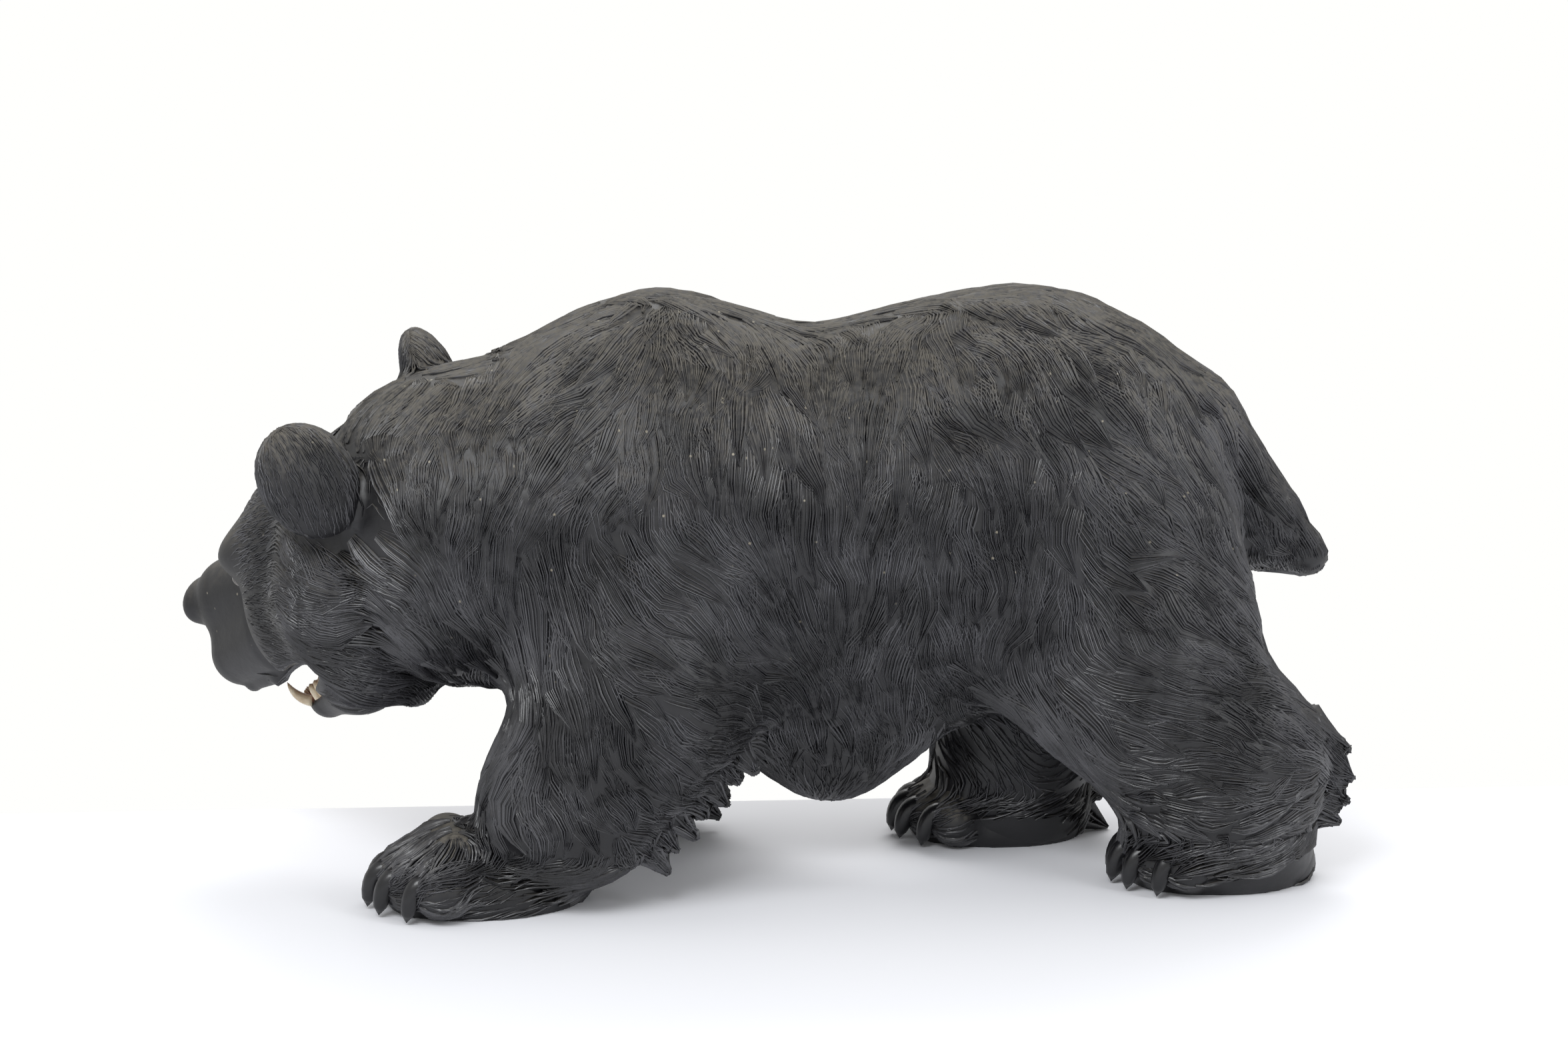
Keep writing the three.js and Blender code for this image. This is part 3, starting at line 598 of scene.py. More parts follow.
def lie_at(points, slopes):
    gaps = (points[:, :1] - lie[:, 0]) ** 2 + (points[:, 2:] - lie[:, 1]) ** 2
    weights = np.exp(-gaps / (2 * LIE_REACH**2)) + 1e-12
    angles = np.radians(lie[:, 2])
    to_tail = along_surface(np.tile([1.0, 0, 0], (len(points), 1)), slopes)
    to_floor = along_surface(np.tile([0, 0, -1.0], (len(points), 1)), slopes)
    share_back, share_down = weights @ np.cos(angles), weights @ np.sin(angles)
    way = unit(to_tail * share_back[:, None] + to_floor * share_down[:, None])
    on_spine = (ramp(slopes[:, 2], 0.9, 0.98) * (points[:, 2] > 215))[:, None]
    way = unit(way * (1 - on_spine) + to_tail * on_spine)
    # A slow waver, so that neighbouring locks lean together.
    x, y, z = points.T
    waver = 0.2 * np.sin(x / 13 + 1.3 * np.sin(z / 19)) + 0.2 * np.sin(z / 11 + y / 17 + 2)
    way = way + np.cross(slopes, way) * waver[:, None]
    local = head_place.inside(points)
    on_face = face_share(local)
    side = np.sign(local[:, 1] + 1e-9)
    fall = ramp(-local[:, 2], -20, 60)
    face_way = np.stack([np.ones(len(local)), side * 0.35, 0.25 - 1.1 * fall], 1)
    near_ear = ear_share(local)
    face_way = face_way * (1 - near_ear)[:, None] + np.array([0.15, 0, 1.0]) * near_ear[:, None]
    face_way = along_surface(face_way @ head_place.axes.T, slopes)
    way = way * (1 - on_face)[:, None] + face_way * on_face[:, None]
    for paw in paws:
        inner = paw.place.inside(points)
        share = ramp(42 - points[:, 2], 0, 14) * (np.hypot(inner[:, 0], inner[:, 1]) < paw.length * 0.7)
        toes_way = along_surface(np.tile(paw.place.axes @ [-1.0, 0, -0.2], (len(points), 1)), slopes)
        way = way * (1 - share)[:, None] + toes_way * share[:, None]
    return along_surface(way, slopes)


def ear_share(local):
    away = np.min([np.linalg.norm(local - ear_middle(side), axis=1) for side in (-1, 1)], 0)
    return ramp(38 - away, 0, 6)


def face_share(local):
    """1 on the face and the ears, 0 on the long fur."""
    away = np.linalg.norm(local, axis=1)
    before = ramp(RUFF_LINE - local[:, 0], -4, 4)
    on_crown = ramp(local[:, 2], 34, 44) * ramp(22 - local[:, 0], 0, 10)
    return np.maximum(np.maximum(before, on_crown), ear_share(local)) * (away < 170)


def belly_share(points):
    """1 on the smooth underside between the legs. Its edge is ragged, where locks hang over it."""
    x, y, z = points.T
    edge = 106 + 5 * np.sin(x / 4.2) + 3 * np.sin(x / 2.3 + 1)
    between_legs = ramp(x, -34, -22) * ramp(108 - x, 0, 12)
    inner = ramp(112 - z, 0, 6) * ramp(46 - np.abs(y), 0, 4)
    return np.maximum(inner, ramp(edge - z, 0, 5) * between_legs)


# %% [markdown]
# The fur is cut as locks: bundles of fine grooves that swell, lean together and end in one
# point, each over the root of the next. A lock starts at a seed on the skin. Its middle line
# follows the lie of the hair with a bend of its own, one short step at a time, and after each
# step it is put back on the surface.

# %% Tracing middle lines
STEPS = 14


def thin_out(points, spacing, order):
    """Picks points in a given order, and no two in the same cube."""
    cubes = np.floor(points[order] / spacing).astype(int)
    _, first = np.unique(cubes, axis=0, return_index=True)
    return order[np.sort(first)]


def trace(seeds, lengths, bends):
    """Middle lines: places, slopes and ways, each with one row for a lock and STEPS + 1 places in it."""
    at, slopes = onto(whole_bear, seeds, 2)
    places, normals, ways = [], [], []
    sway = chance.uniform(-1, 1, len(seeds))
    for i in range(STEPS + 1):
        t = i / STEPS
        way = lie_at(at, slopes)
        lean = bends * (t - 0.4) + 0.5 * sway * np.sin(2 * math.pi * t)
        way = along_surface(way + np.cross(slopes, way) * lean[:, None], slopes)
        places.append(at)
        normals.append(slopes)
        ways.append(way)
        at, slopes = onto(whole_bear, at + way * (lengths / STEPS)[:, None], 1)
    return np.stack(places, 1), np.stack(normals, 1), np.stack(ways, 1)


# %% [markdown]
# Across, a lock is a low dome. It rises from its root to its tip, so that each tip lies on top
# of the next root and casts a thin dark edge. The dome lifts both the stone under the lock and
# the grooves on it. Full locks come first. Where the flow spreads, they leave bare places, so
# smaller locks are grown there, and a lock that would climb an ear is left out.

# %% Locks
LOCK_HEIGHT = 2.4
LOCK_WIDTH = 20.0
LOCK_SPACING = 20.5
BARE_GAP = 6.5  # a place is bare when no lock's middle line is nearer than this
SMALL_SPACING, SMALL_SHARE = 14, 0.66


def swell(t):
    """A lock's width along its length, as a share of its widest."""
    return np.interp(t, [0, 0.12, 0.35, 0.6, 0.85, 1], [0.45, 0.75, 1, 0.85, 0.42, 0.05])


def rise(t):
    """A lock's height along its length, as a share of its highest."""
    return np.interp(t, [0, 0.25, 0.7, 0.9, 1], [0, 0.3, 0.9, 1, 0.75])


def tree_of(points):
    tree = KDTree(len(points))
    for i, point in enumerate(points):
        tree.insert(point, i)
    tree.balance()
    return tree


skin_points = np.concatenate([body_points, head_points] + [net[0] for net in paw_nets])
skin_slopes = np.concatenate([body_slopes, head_slopes] + [net[1] for net in paw_nets])
is_outer = np.abs(whole_bear(skin_points)) < 0.6
skin_points, skin_slopes = skin_points[is_outer], skin_slopes[is_outer]
skin_local = head_place.inside(skin_points)
on_face = face_share(skin_local)
on_belly = belly_share(skin_points)
order = chance.permutation(len(skin_points))
is_long = (on_face < 0.5) & (on_belly < 0.5) & (skin_points[:, 2] > 24)


def grow_locks(seeds, share):
    """Locks from the skin points with these numbers; share is their size beside a full lock's."""
    at = skin_points[seeds]
    low_share = ramp(120 - at[:, 2], 0, 60)
    lengths = share * (58 - 22 * low_share) * chance.uniform(0.75, 1.25, len(seeds))
    widths = share * LOCK_WIDTH * (1 - 0.3 * low_share) * chance.uniform(0.7, 1.25, len(seeds))
    heights = share * LOCK_HEIGHT * (1 - 0.35 * low_share) * chance.uniform(0.55, 1.15, len(seeds))
    start = at - lie_at(at, skin_slopes[seeds]) * ((1 - share) * lengths)[:, None]
    return (*trace(start, lengths, chance.normal(0, 0.35, len(seeds))), lengths, widths, heights)


full_locks = grow_locks(thin_out(skin_points, LOCK_SPACING, order[is_long[order]]), 1.0)
middle_lines = tree_of(full_locks[0][:, 2:-1].reshape(-1, 3))
is_bare = np.array([middle_lines.find(point)[2] > BARE_GAP for point in skin_points]) & is_long
small_locks = grow_locks(thin_out(skin_points, SMALL_SPACING, order[is_bare[order]]), SMALL_SHARE)
all_locks = [np.concatenate(pair) for pair in zip(small_locks, full_locks)]
on_ears = ear_share(head_place.inside(all_locks[0].reshape(-1, 3))).reshape(-1, STEPS + 1)
is_kept = on_ears.max(1) < 0.3
lock_places, lock_slopes, lock_ways, lengths, widths, lock_heights = (each[is_kept] for each in all_locks)
side_ways = np.cross(lock_slopes, lock_ways)
print("locks:", len(full_locks[0]), "and small ones:", len(small_locks[0]))

# %% [markdown]
# Where a lock lies, the stone under it is lifted to its dome. For each place on a middle line, a
# k-d tree finds the vertices near it, and each vertex keeps the highest dome over it.

# %% Lifting the stone
def dome(across):
    return np.clip(1 - across**2, 0, 1) ** 0.6


def lift_under_locks(points, slopes):
    tree = tree_of(points)
    height = np.zeros(len(points))
    for n in range(len(lock_places)):
        half_step = lengths[n] / STEPS
        for i in range(1, STEPS + 1):
            t = i / STEPS
            half = max(widths[n] * swell(t) / 2, 1.0)
            found = tree.find_range(lock_places[n, i], half + half_step)
            if not found:
                continue
            index = [item[1] for item in found]
            gaps = points[index] - lock_places[n, i]
            beside = gaps @ side_ways[n, i] / half
            is_at = (np.abs(gaps @ lock_ways[n, i]) < half_step) & (np.abs(beside) < 1)
            lifted = lock_heights[n] * rise(t) * dome(beside) * is_at
            height[index] = np.maximum(height[index], lifted)
    print("stone lifted by up to", round(float(height.max()), 2), "mm")
    return points + slopes * height[:, None]


body_lifted = lift_under_locks(body_points, body_slopes)
head_lifted = lift_under_locks(head_points, head_slopes)

# %% [markdown]
# The grooves between hairs are what the eye sees most. Each hair is a thin ridge of stone that
# tapers to its lock's point. Numbers say where the ridges run. This helper lays a lock's ridges
# side by side across its width, puts them back on the round surface, and lifts each to its
# place on the dome, with a little jitter of its own.

# %% Ridges on the locks
FLOOR_GAP = 0.8  # a ridge's middle stays this far above the floor


class Ridges:
    """Paths of ridges with the same number of places each, and how wide and how light each is."""

    def __init__(self, places, slopes, halves, tones):
        self.places, self.slopes, self.halves, self.tones = places, slopes, halves, tones

    def only(self, chosen):
        return Ridges(self.places[chosen], self.slopes[chosen], self.halves[chosen], self.tones[chosen])


def settled(base, heights, rounds=1):
    """Puts flat paths on the bear's surface and lifts them, but never under the floor."""
    at, slopes = onto(whole_bear, base.reshape(-1, 3), rounds)
    at = at + slopes * heights.reshape(-1)[:, None]
    at[:, 2] = np.maximum(at[:, 2], FLOOR_GAP)
    return at.reshape(base.shape), slopes.reshape(base.shape)


def ridges_on_locks(pitch, count_places):
    picks = np.linspace(0, STEPS, count_places)
    lower = np.minimum(picks.astype(int), STEPS - 1)
    part = (picks - lower)[:, None]
    t = picks / STEPS
    base, heights, leans, halves, tones = [], [], [], [], []
    for n in range(len(lock_places)):
        count = max(4, round(widths[n] / pitch))
        line = lock_places[n, lower] * (1 - part) + lock_places[n, lower + 1] * part
        sides = side_ways[n, lower] * (1 - part) + side_ways[n, lower + 1] * part
        tone = chance.uniform(0, 1)
        half_width = widths[n] * swell(t) / 2
        for across in (np.arange(count) + 0.5) / count * 2 - 1:
            across = across + chance.uniform(-0.4, 0.4) / count
            wobble = chance.uniform(-0.7, 0.7) * np.sin(math.pi * t)
            base.append(line + sides * (across * half_width + wobble)[:, None])
            dome_height = lock_heights[n] * rise(t) * dome(np.clip(across, -1, 1))
            heights.append(dome_height + chance.uniform(-0.2, 0.4))
            leans.append(sides * across * 0.35)
            halves.append(np.maximum(half_width / count * 1.02, 0.3) * chance.uniform(0.85, 1.15))
            tones.append(0.5 * tone + 0.5 * chance.uniform(0, 1))
    places, slopes = settled(np.array(base), np.array(heights))
    slopes = slopes + np.array(leans)
    return Ridges(places, slopes, np.array(halves), np.array(tones))


long_ridges = ridges_on_locks(pitch=1.9, count_places=6)
print("long ridges:", len(long_ridges.places))

# %% [markdown]
# The face, the ears, the paws and the belly have short, flat hair: single strokes of the tool
# without locks. The muzzle, the lips and the nose stay smooth, and so does the inside of the
# mouth.

# %% Short hair
palate_middle = np.array([-92.0, 0, -72])


def short_ridges(chosen, spacing, length, half, height, count_places):
    picked = thin_out(skin_points, spacing, order[chosen[order]])
    long = length * chance.uniform(0.7, 1.3, len(picked))
    places, _, _ = trace(skin_points[picked], long, chance.normal(0, 0.25, len(picked)))
    picks = np.linspace(0, STEPS, count_places).round().astype(int)
    t = picks / STEPS
    heights = np.tile(height * np.sin(math.pi * np.clip(t, 0.06, 0.94)) - 0.3, (len(picked), 1))
    at, slopes = settled(places[:, picks], heights)
    belly_of_stroke = np.sqrt(np.sin(math.pi * np.clip(t, 0.05, 0.95)))
    halves = half * belly_of_stroke * chance.uniform(0.75, 1.2, (len(picked), 1))
    return Ridges(at, slopes, halves, chance.uniform(0, 1, len(picked)))


skin_ear = ear_share(skin_local)
on_muzzle = (skin_local[:, 0] < -64) & (skin_ear < 0.5)
in_mouth = np.linalg.norm((skin_local - palate_middle) * [0.5, 1, 1], axis=1) < 24
in_mouth |= np.min([form(skin_local) for form in mouth_corners], 0) < 4
is_face = (on_face > 0.5) & ~on_muzzle & ~in_mouth & (skin_local[:, 2] > -62)
is_paw = (skin_points[:, 2] < 40) & (skin_points[:, 2] > 5) & ~(skin_ear > 0)
is_belly = (on_belly > 0.5) & (skin_points[:, 2] > 46)
face_ridges = short_ridges(is_face, 3.3, 15, 0.7, 0.25, 5)
paw_ridges = short_ridges(is_paw, 5.2, 26, 0.95, 0.55, 5)
belly_ridges = short_ridges(is_belly, 7.5, 44, 0.9, 0.35, 6)
print("short ridges:", [len(r.places) for r in (face_ridges, paw_ridges, belly_ridges)])

# %% [markdown]
# The tufts at the elbows and heels are the longest hair on the bear: each is a cone of stone
# with ridges along it that meet in its point.

# %% Ridges on the tufts
TUFT_RIDGES = 11


def tuft_ridges(count_places):
    places, slopes, halves, tones = [], [], [], []
    t = np.linspace(0, 1, count_places)
    for on_skin, way, reach in tufts:
        first = np.cross(way, [0, 0, 1.0])
        first /= np.linalg.norm(first)
        second = np.cross(way, first)
        ahead = -TUFT_RADIUS - 5 + (TUFT_RADIUS + 5 + reach + chance.uniform(1, 4)) * t
        stops = [-TUFT_RADIUS - 5, -TUFT_RADIUS, reach, reach + 4]
        radius = np.interp(ahead, stops, [8, TUFT_RADIUS, 2, 0.3])
        for turn in np.arange(TUFT_RIDGES) / TUFT_RIDGES * 2 * math.pi:
            turn = turn + chance.uniform(-0.15, 0.15) + 0.35 * np.sin(2.5 * t)
            outward = np.cos(turn)[:, None] * first + np.sin(turn)[:, None] * second
            out = radius + chance.uniform(-0.2, 0.5)
            places.append(on_skin + way * ahead[:, None] + outward * out[:, None])
            slopes.append(outward)
            halves.append(np.maximum(radius * math.pi / TUFT_RIDGES * 1.15, 0.4))
            tones.append(chance.uniform(0, 1))
    places = np.array(places)
    places[..., 2] = np.maximum(places[..., 2], FLOOR_GAP)
    return Ridges(places, np.array(slopes), np.array(halves), np.array(tones))


fringe_ridges = tuft_ridges(7)
print("tuft ridges:", len(fringe_ridges.places))

# %% [markdown]
# A ridge repeats thousands of times along paths, so Geometry Nodes make it. The paths go in as
# plain edges that carry their width and the way that is up. The tree turns them into curves,
# runs a three-sided section along each and closes its ends. With smooth shading a three-sided
# bar looks round, and its lower side is hidden in the stone. The tree's inputs are the width
# and the height of the section, and the material.

# %% The ridge tree
def input_of(tree, name, kind, value=None):
    made = tree.interface.new_socket(name=name, in_out="INPUT", socket_type=kind)
    if value is not None:
        made.default_value = value
    return made.identifier


def named(tree, name, kind):
    node = tree.nodes.new("GeometryNodeInputNamedAttribute")
    node.data_type = kind
    node.inputs["Name"].default_value = name
    return node.outputs["Attribute"]


def ridge_tree():
    tree = bpy.data.node_groups.new("carved_ridges", "GeometryNodeTree")
    sockets = {
        "geometry": input_of(tree, "Paths", "NodeSocketGeometry"),
        "width": input_of(tree, "Width", "NodeSocketFloat", 1.15),
        "height": input_of(tree, "Height", "NodeSocketFloat", 1.35),
        "material": input_of(tree, "Material", "NodeSocketMaterial"),
    }
    tree.interface.new_socket(name="Ridges", in_out="OUTPUT", socket_type="NodeSocketGeometry")
    entry = tree.nodes.new("NodeGroupInput")
    leave = tree.nodes.new("NodeGroupOutput")
    curves = tree.nodes.new("GeometryNodeMeshToCurve")
    upright = tree.nodes.new("GeometryNodeSetCurveNormal")
    upright.mode = "FREE"
    section = tree.nodes.new("GeometryNodeCurvePrimitiveCircle")
    section.inputs["Resolution"].default_value = 3
    section.inputs["Radius"].default_value = 1
    scale = tree.nodes.new("ShaderNodeCombineXYZ")
    shaped = tree.nodes.new("GeometryNodeTransform")
    bars = tree.nodes.new("GeometryNodeCurveToMesh")
    bars.inputs["Fill Caps"].default_value = True
    plain = tree.nodes.new("GeometryNodeRealizeInstances")
    dressed = tree.nodes.new("GeometryNodeSetMaterial")
    link = tree.links.new
    link(entry.outputs["Paths"], curves.inputs["Mesh"])
    link(curves.outputs["Curve"], upright.inputs["Curve"])
    link(named(tree, "up_way", "FLOAT_VECTOR"), upright.inputs["Normal"])
    link(upright.outputs["Curve"], bars.inputs["Curve"])
    link(named(tree, "half_width", "FLOAT"), bars.inputs["Scale"])
    link(entry.outputs["Height"], scale.inputs["X"])
    link(entry.outputs["Width"], scale.inputs["Y"])
    scale.inputs["Z"].default_value = 1
    link(section.outputs["Curve"], shaped.inputs["Geometry"])
    link(scale.outputs["Vector"], shaped.inputs["Scale"])
    link(shaped.outputs["Geometry"], bars.inputs["Profile Curve"])
    link(bars.outputs["Mesh"], plain.inputs["Geometry"])
    link(plain.outputs["Geometry"], dressed.inputs["Geometry"])
    link(entry.outputs["Material"], dressed.inputs["Material"])
    link(dressed.outputs["Geometry"], leave.inputs["Ridges"])
    return tree, sockets


ridge_nodes, ridge_sockets = ridge_tree()


def lay_out_strips(mesh, count, per_ridge):
    """Gives each ridge a strip of its own on the map that its colours are baked through."""
    columns = max(1, round(math.sqrt(count / 4)))
    rows = -(-count // columns)
    corner_vertex = np.empty(len(mesh.loops), np.int64)
    mesh.loops.foreach_get("vertex_index", corner_vertex)
    ridge, rest = np.divmod(corner_vertex, per_ridge * 3)
    ring, turn = np.divmod(rest, 3)
    starts = np.empty(len(mesh.polygons), np.int64)
    totals = np.empty(len(mesh.polygons), np.int64)
    mesh.polygons.foreach_get("loop_start", starts)
    mesh.polygons.foreach_get("loop_total", totals)
    face = np.repeat(np.arange(len(starts)), totals)
    around = turn.astype(float)
    has_last = np.zeros(len(starts), bool)
    has_last[face[turn == 2]] = True
    is_wrap = has_last[face] & (totals[face] == 4) & (turn == 0)
    around[is_wrap] = 3
    along = ring / (per_ridge - 1)
    along = along + (totals[face] == 3) * (turn == 1) * np.where(ring > 0, -0.05, 0.05)
    u = (ridge % columns + 0.06 + 0.88 * along) / columns
    v = (ridge // columns + 0.08 + 0.84 * around / 3) / rows
    layer = mesh.uv_layers.new(name="OFBake")
    layer.data.foreach_set("uv", np.stack([u, v], 1).astype(np.float32).ravel())
    turns = mesh.attributes.new("turn", "FLOAT", "CORNER")
    turns.data.foreach_set("value", around.astype(np.float32))


def carve_ridges(name, ridges, material):
    count, per_ridge = ridges.places.shape[:2]
    numbers = np.arange(count * per_ridge).reshape(count, per_ridge)
    edges = np.stack([numbers[:, :-1].ravel(), numbers[:, 1:].ravel()], 1)
    paths = mesh_object(name + "_paths", ridges.places.reshape(-1, 3), edges=edges)
    add_numbers(paths, "half_width", ridges.halves.ravel() * MM)
    add_numbers(paths, "tone", np.repeat(ridges.tones, per_ridge))
    add_arrows(paths, "up_way", ridges.slopes.reshape(-1, 3))
    modifier = paths.modifiers.new("ridges", "NODES")
    modifier.node_group = ridge_nodes
    modifier[ridge_sockets["material"]] = material
    evaluated = paths.evaluated_get(bpy.context.evaluated_depsgraph_get())
    mesh = bpy.data.meshes.new_from_object(evaluated)
    mesh.name = name
    mesh.shade_smooth()
    lay_out_strips(mesh, count, per_ridge)
    for spare in ("up_way", "half_width"):
        if spare in mesh.attributes:
            mesh.attributes.remove(mesh.attributes[spare])
    made = bpy.data.objects.new(name, mesh)
    bpy.context.scene.collection.objects.link(made)
    bpy.data.objects.remove(paths)
    triangles = sum(len(p.vertices) - 2 for p in mesh.polygons)
    print(name, "has", count, "ridges and", triangles, "triangles")
    return made


# %% [markdown]
# Materials are made of nodes. Written as wires they are hard to read, so two small classes let
# Python's own signs do the maths: a Value holds a node's output, and adding or multiplying
# Values adds Math nodes.

# %% Shader maths
def sign(operation, swap=False):
    return lambda self, other: self.maths(operation, other, swap=swap)


class Value:
    __add__ = __radd__ = sign("ADD")
    __mul__ = __rmul__ = sign("MULTIPLY")
    __sub__, __rsub__ = sign("SUBTRACT"), sign("SUBTRACT", swap=True)
    __truediv__ = sign("DIVIDE")
    __gt__ = sign("GREATER_THAN")

    def __init__(self, shading, socket):
        self.shading, self.socket = shading, socket

    def maths(self, operation, *others, swap=False):
        pair = (*others, self) if swap else (self, *others)
        inputs = {i: value for i, value in enumerate(pair)}
        return self.shading.make("ShaderNodeMath", {"operation": operation}, inputs)

    def ramp(self, low, high):
        """0 below low, 1 above high, and a soft slope between."""
        inputs = {"Value": self, "From Min": low, "From Max": high}
        return self.shading.make("ShaderNodeMapRange", {"interpolation_type": "SMOOTHSTEP"}, inputs)


class Shading:
    def __init__(self, name):
        self.material = bpy.data.materials.new(name)
        self.material.use_nodes = True
        self.tree = self.material.node_tree
        self.surface = self.tree.nodes["Principled BSDF"]

    def make(self, kind, settings=None, inputs=None, output=0):
        node = self.tree.nodes.new(kind)
        for key, setting in (settings or {}).items():
            setattr(node, key, setting)
        for key, value in (inputs or {}).items():
            self.plug(node.inputs[key], value)
        return Value(self, node.outputs[output])

    def plug(self, socket, value):
        if isinstance(value, Value):
            self.tree.links.new(value.socket, socket)
        else:
            socket.default_value = value

    def mix(self, factor, first, second):
        """A colour between two colours."""
        inputs = {0: factor, 6: first, 7: second}
        return self.make("ShaderNodeMix", {"data_type": "RGBA"}, inputs, output=2)

    def place(self):
        return self.make("ShaderNodeTexCoord", output="Object")

    def part_of(self, vector, axis):
        return self.make("ShaderNodeSeparateXYZ", None, {0: vector}, output=axis)

    def noise(self, scale, detail=2.0, rough=0.5, vector=None):
        inputs = {"Vector": vector or self.place(), "Scale": scale, "Detail": detail, "Roughness": rough}
        return self.make("ShaderNodeTexNoise", None, inputs)

    def number(self, name):
        return self.make("ShaderNodeAttribute", {"attribute_name": name}, output="Fac")

    def finish(self, colour, roughness, bump=None, strength=0.2, depth=0.0003, **settings):
        self.plug(self.surface.inputs["Base Color"], colour)
        self.plug(self.surface.inputs["Roughness"], roughness)
        if bump is not None:
            inputs = {"Strength": strength, "Distance": depth, "Height": bump}
            self.plug(self.surface.inputs["Normal"], self.make("ShaderNodeBump", None, inputs))
        for key, value in settings.items():
            self.surface.inputs[key.replace("_", " ")].default_value = value
        return self.material


def shade(red, green, blue):
    return (red, green, blue, 1.0)


# %% [markdown]
# The stone is a black that takes a satin polish. Years of dust lie on everything that faces up,
# thickest along the back, and pale grains sit in it. Where the soles touch the floor, the black
# is chipped and the grey stone shows.

# %% Stone
BLACK = shade(0.0085, 0.0085, 0.0105)
SOOT = shade(0.003, 0.003, 0.004)
DUST = shade(0.108, 0.098, 0.082)
# The pale crests of the ridges: wear, and a painted highlight along each crest.
CREST_WEAR_AND_HIGHLIGHT = shade(0.096, 0.096, 0.105)
GRAIN = shade(0.3, 0.27, 0.21)
SCUFF = shade(0.33, 0.3, 0.24)
DARK_FLESH, PALE_FLESH = shade(0.27, 0.1, 0.1), shade(0.42, 0.2, 0.18)
GUM_RIM = shade(0.55, 0.2, 0.11)
CHIP = shade(0.42, 0.41, 0.38)
chips = [  # place, radius, on the bear in metres
    ((0.196, -0.096, 0.004), 0.011),
    ((0.184, -0.088, 0.005), 0.006),
    ((0.086, 0.012, 0.003), 0.007),
]
scuffs = [
    ((0.120, -0.055, 0.318), 0.003),
    ((0.170, -0.070, 0.296), 0.0035),
    ((0.188, -0.074, 0.290), 0.004),
    ((0.002, -0.106, 0.212), 0.0012),
]


def round_mask(shading, place, middle, radius, ragged):
    """1 inside a ragged round patch, 0 outside."""
    gap = shading.make(
        "ShaderNodeVectorMath", {"operation": "DISTANCE"}, {0: place, 1: middle}, output="Value"
    )
    return 1 - (gap / radius + ragged * 1.6).ramp(1.2, 1.5)


def stone(name, gloss, dust_and_shade_share=1.0, with_tone=False, with_paint=False, with_chips=True, grain=0.0):
    shading = Shading(name)
    place = shading.place()
    facing = shading.make("ShaderNodeNewGeometry", output="Normal")
    up_share = shading.part_of(facing, "Z")
    height = shading.part_of(place, "Z")
    cloud = shading.noise(22, 4, 0.6)
    fine = shading.noise(240, 3, 0.6)
    lies = (up_share + (cloud - 0.5) * 0.9).ramp(-0.15, 1.0)
    lies = lies * (0.35 + 0.65 * height.ramp(0.12, 0.3))
    dust = lies * dust_and_shade_share * (0.45 + 0.9 * fine.ramp(0.3, 0.7))
    body = shading.mix(cloud.ramp(0.35, 0.7), SOOT, BLACK)
    if with_tone:
        # Around a ridge, the turn goes from 0 to 3. Both ends are its crest, painted pale: wear, and a
        # painted highlight.
        turn = shading.number("turn")
        crest = ((turn - 1.5).maths("ABSOLUTE") / 1.5).ramp(0.45, 1.0)
        # The crest is painted pale as a highlight and as wear, more on lighter ridges.
        crest_wear_and_highlight = crest * (0.25 + 0.75 * cloud.ramp(0.35, 0.65)) * (0.25 + 0.75 * shading.number("tone"))
        body = shading.mix(crest_wear_and_highlight, body, CREST_WEAR_AND_HIGHLIGHT)
    colour = shading.mix(dust.ramp(0, 1.35), body, DUST)
    grains = shading.make(
        "ShaderNodeTexVoronoi",
        None,
        {"Vector": place, "Scale": 105.0, "Randomness": 1.0},
        output="Distance",
    )
    chosen = shading.noise(61, 1)
    grain_mask = (1 - grains.ramp(0.055, 0.1)) * (chosen > 0.56) * height.ramp(0.1, 0.2)
    colour = shading.mix(grain_mask * 0.8, colour, GRAIN)
    ragged = shading.noise(190, 3) - 0.5
    for middle, radius in scuffs:
        scuff = round_mask(shading, place, middle, radius, ragged) * 0.55
        colour = shading.mix(scuff, colour, SCUFF)
    for middle, radius in chips if with_chips else ():
        colour = shading.mix(round_mask(shading, place, middle, radius, ragged), colour, CHIP)
    roughness = gloss + fine * 0.16 + dust.ramp(0, 1.2) * 0.3
    if with_paint:
        flesh = shading.mix(shading.noise(90, 3), DARK_FLESH, PALE_FLESH)
        colour = shading.mix(shading.number("mouth"), colour, flesh)
        colour = shading.mix(shading.number("gum_rim"), colour, GUM_RIM)
        roughness = roughness - shading.number("mouth") * 0.15
    if with_tone:
        # A finer hair lies along the crest, and one along each side.
        bump = (turn * (2 * math.pi)).maths("COSINE") + fine * 0.5
    else:
        bump = shading.noise(520, 2) + shading.noise(120, 2) * 1.5
    return shading.finish(colour, roughness, bump, strength=grain)


fur_stone = stone("black_stone_fur", gloss=0.2, with_tone=True, grain=0.55)
# The stone under the fur takes half the dust, so the grooves between the ridges stay darker: painted
# shade.
under_stone = stone("black_stone_under", gloss=0.36, dust_and_shade_share=0.5, grain=0.25)
paw_stone = stone("black_stone_paws", gloss=0.34, dust_and_shade_share=3.0, grain=0.25)
face_stone = stone("black_stone_face", gloss=0.4, dust_and_shade_share=1.3, with_paint=True, grain=0.3)
claw_stone = stone("black_stone_claws", gloss=0.22, dust_and_shade_share=0.35, with_chips=False, grain=0.12)

# %% [markdown]
# The skin pieces are the stone itself. The head's skin also says, vertex by vertex, how much of
# the mouth's paint it wears: flesh on the palate, the tongue, the trough of the jaw and the
# corners of the mouth, and a warm rim along the lower gum.

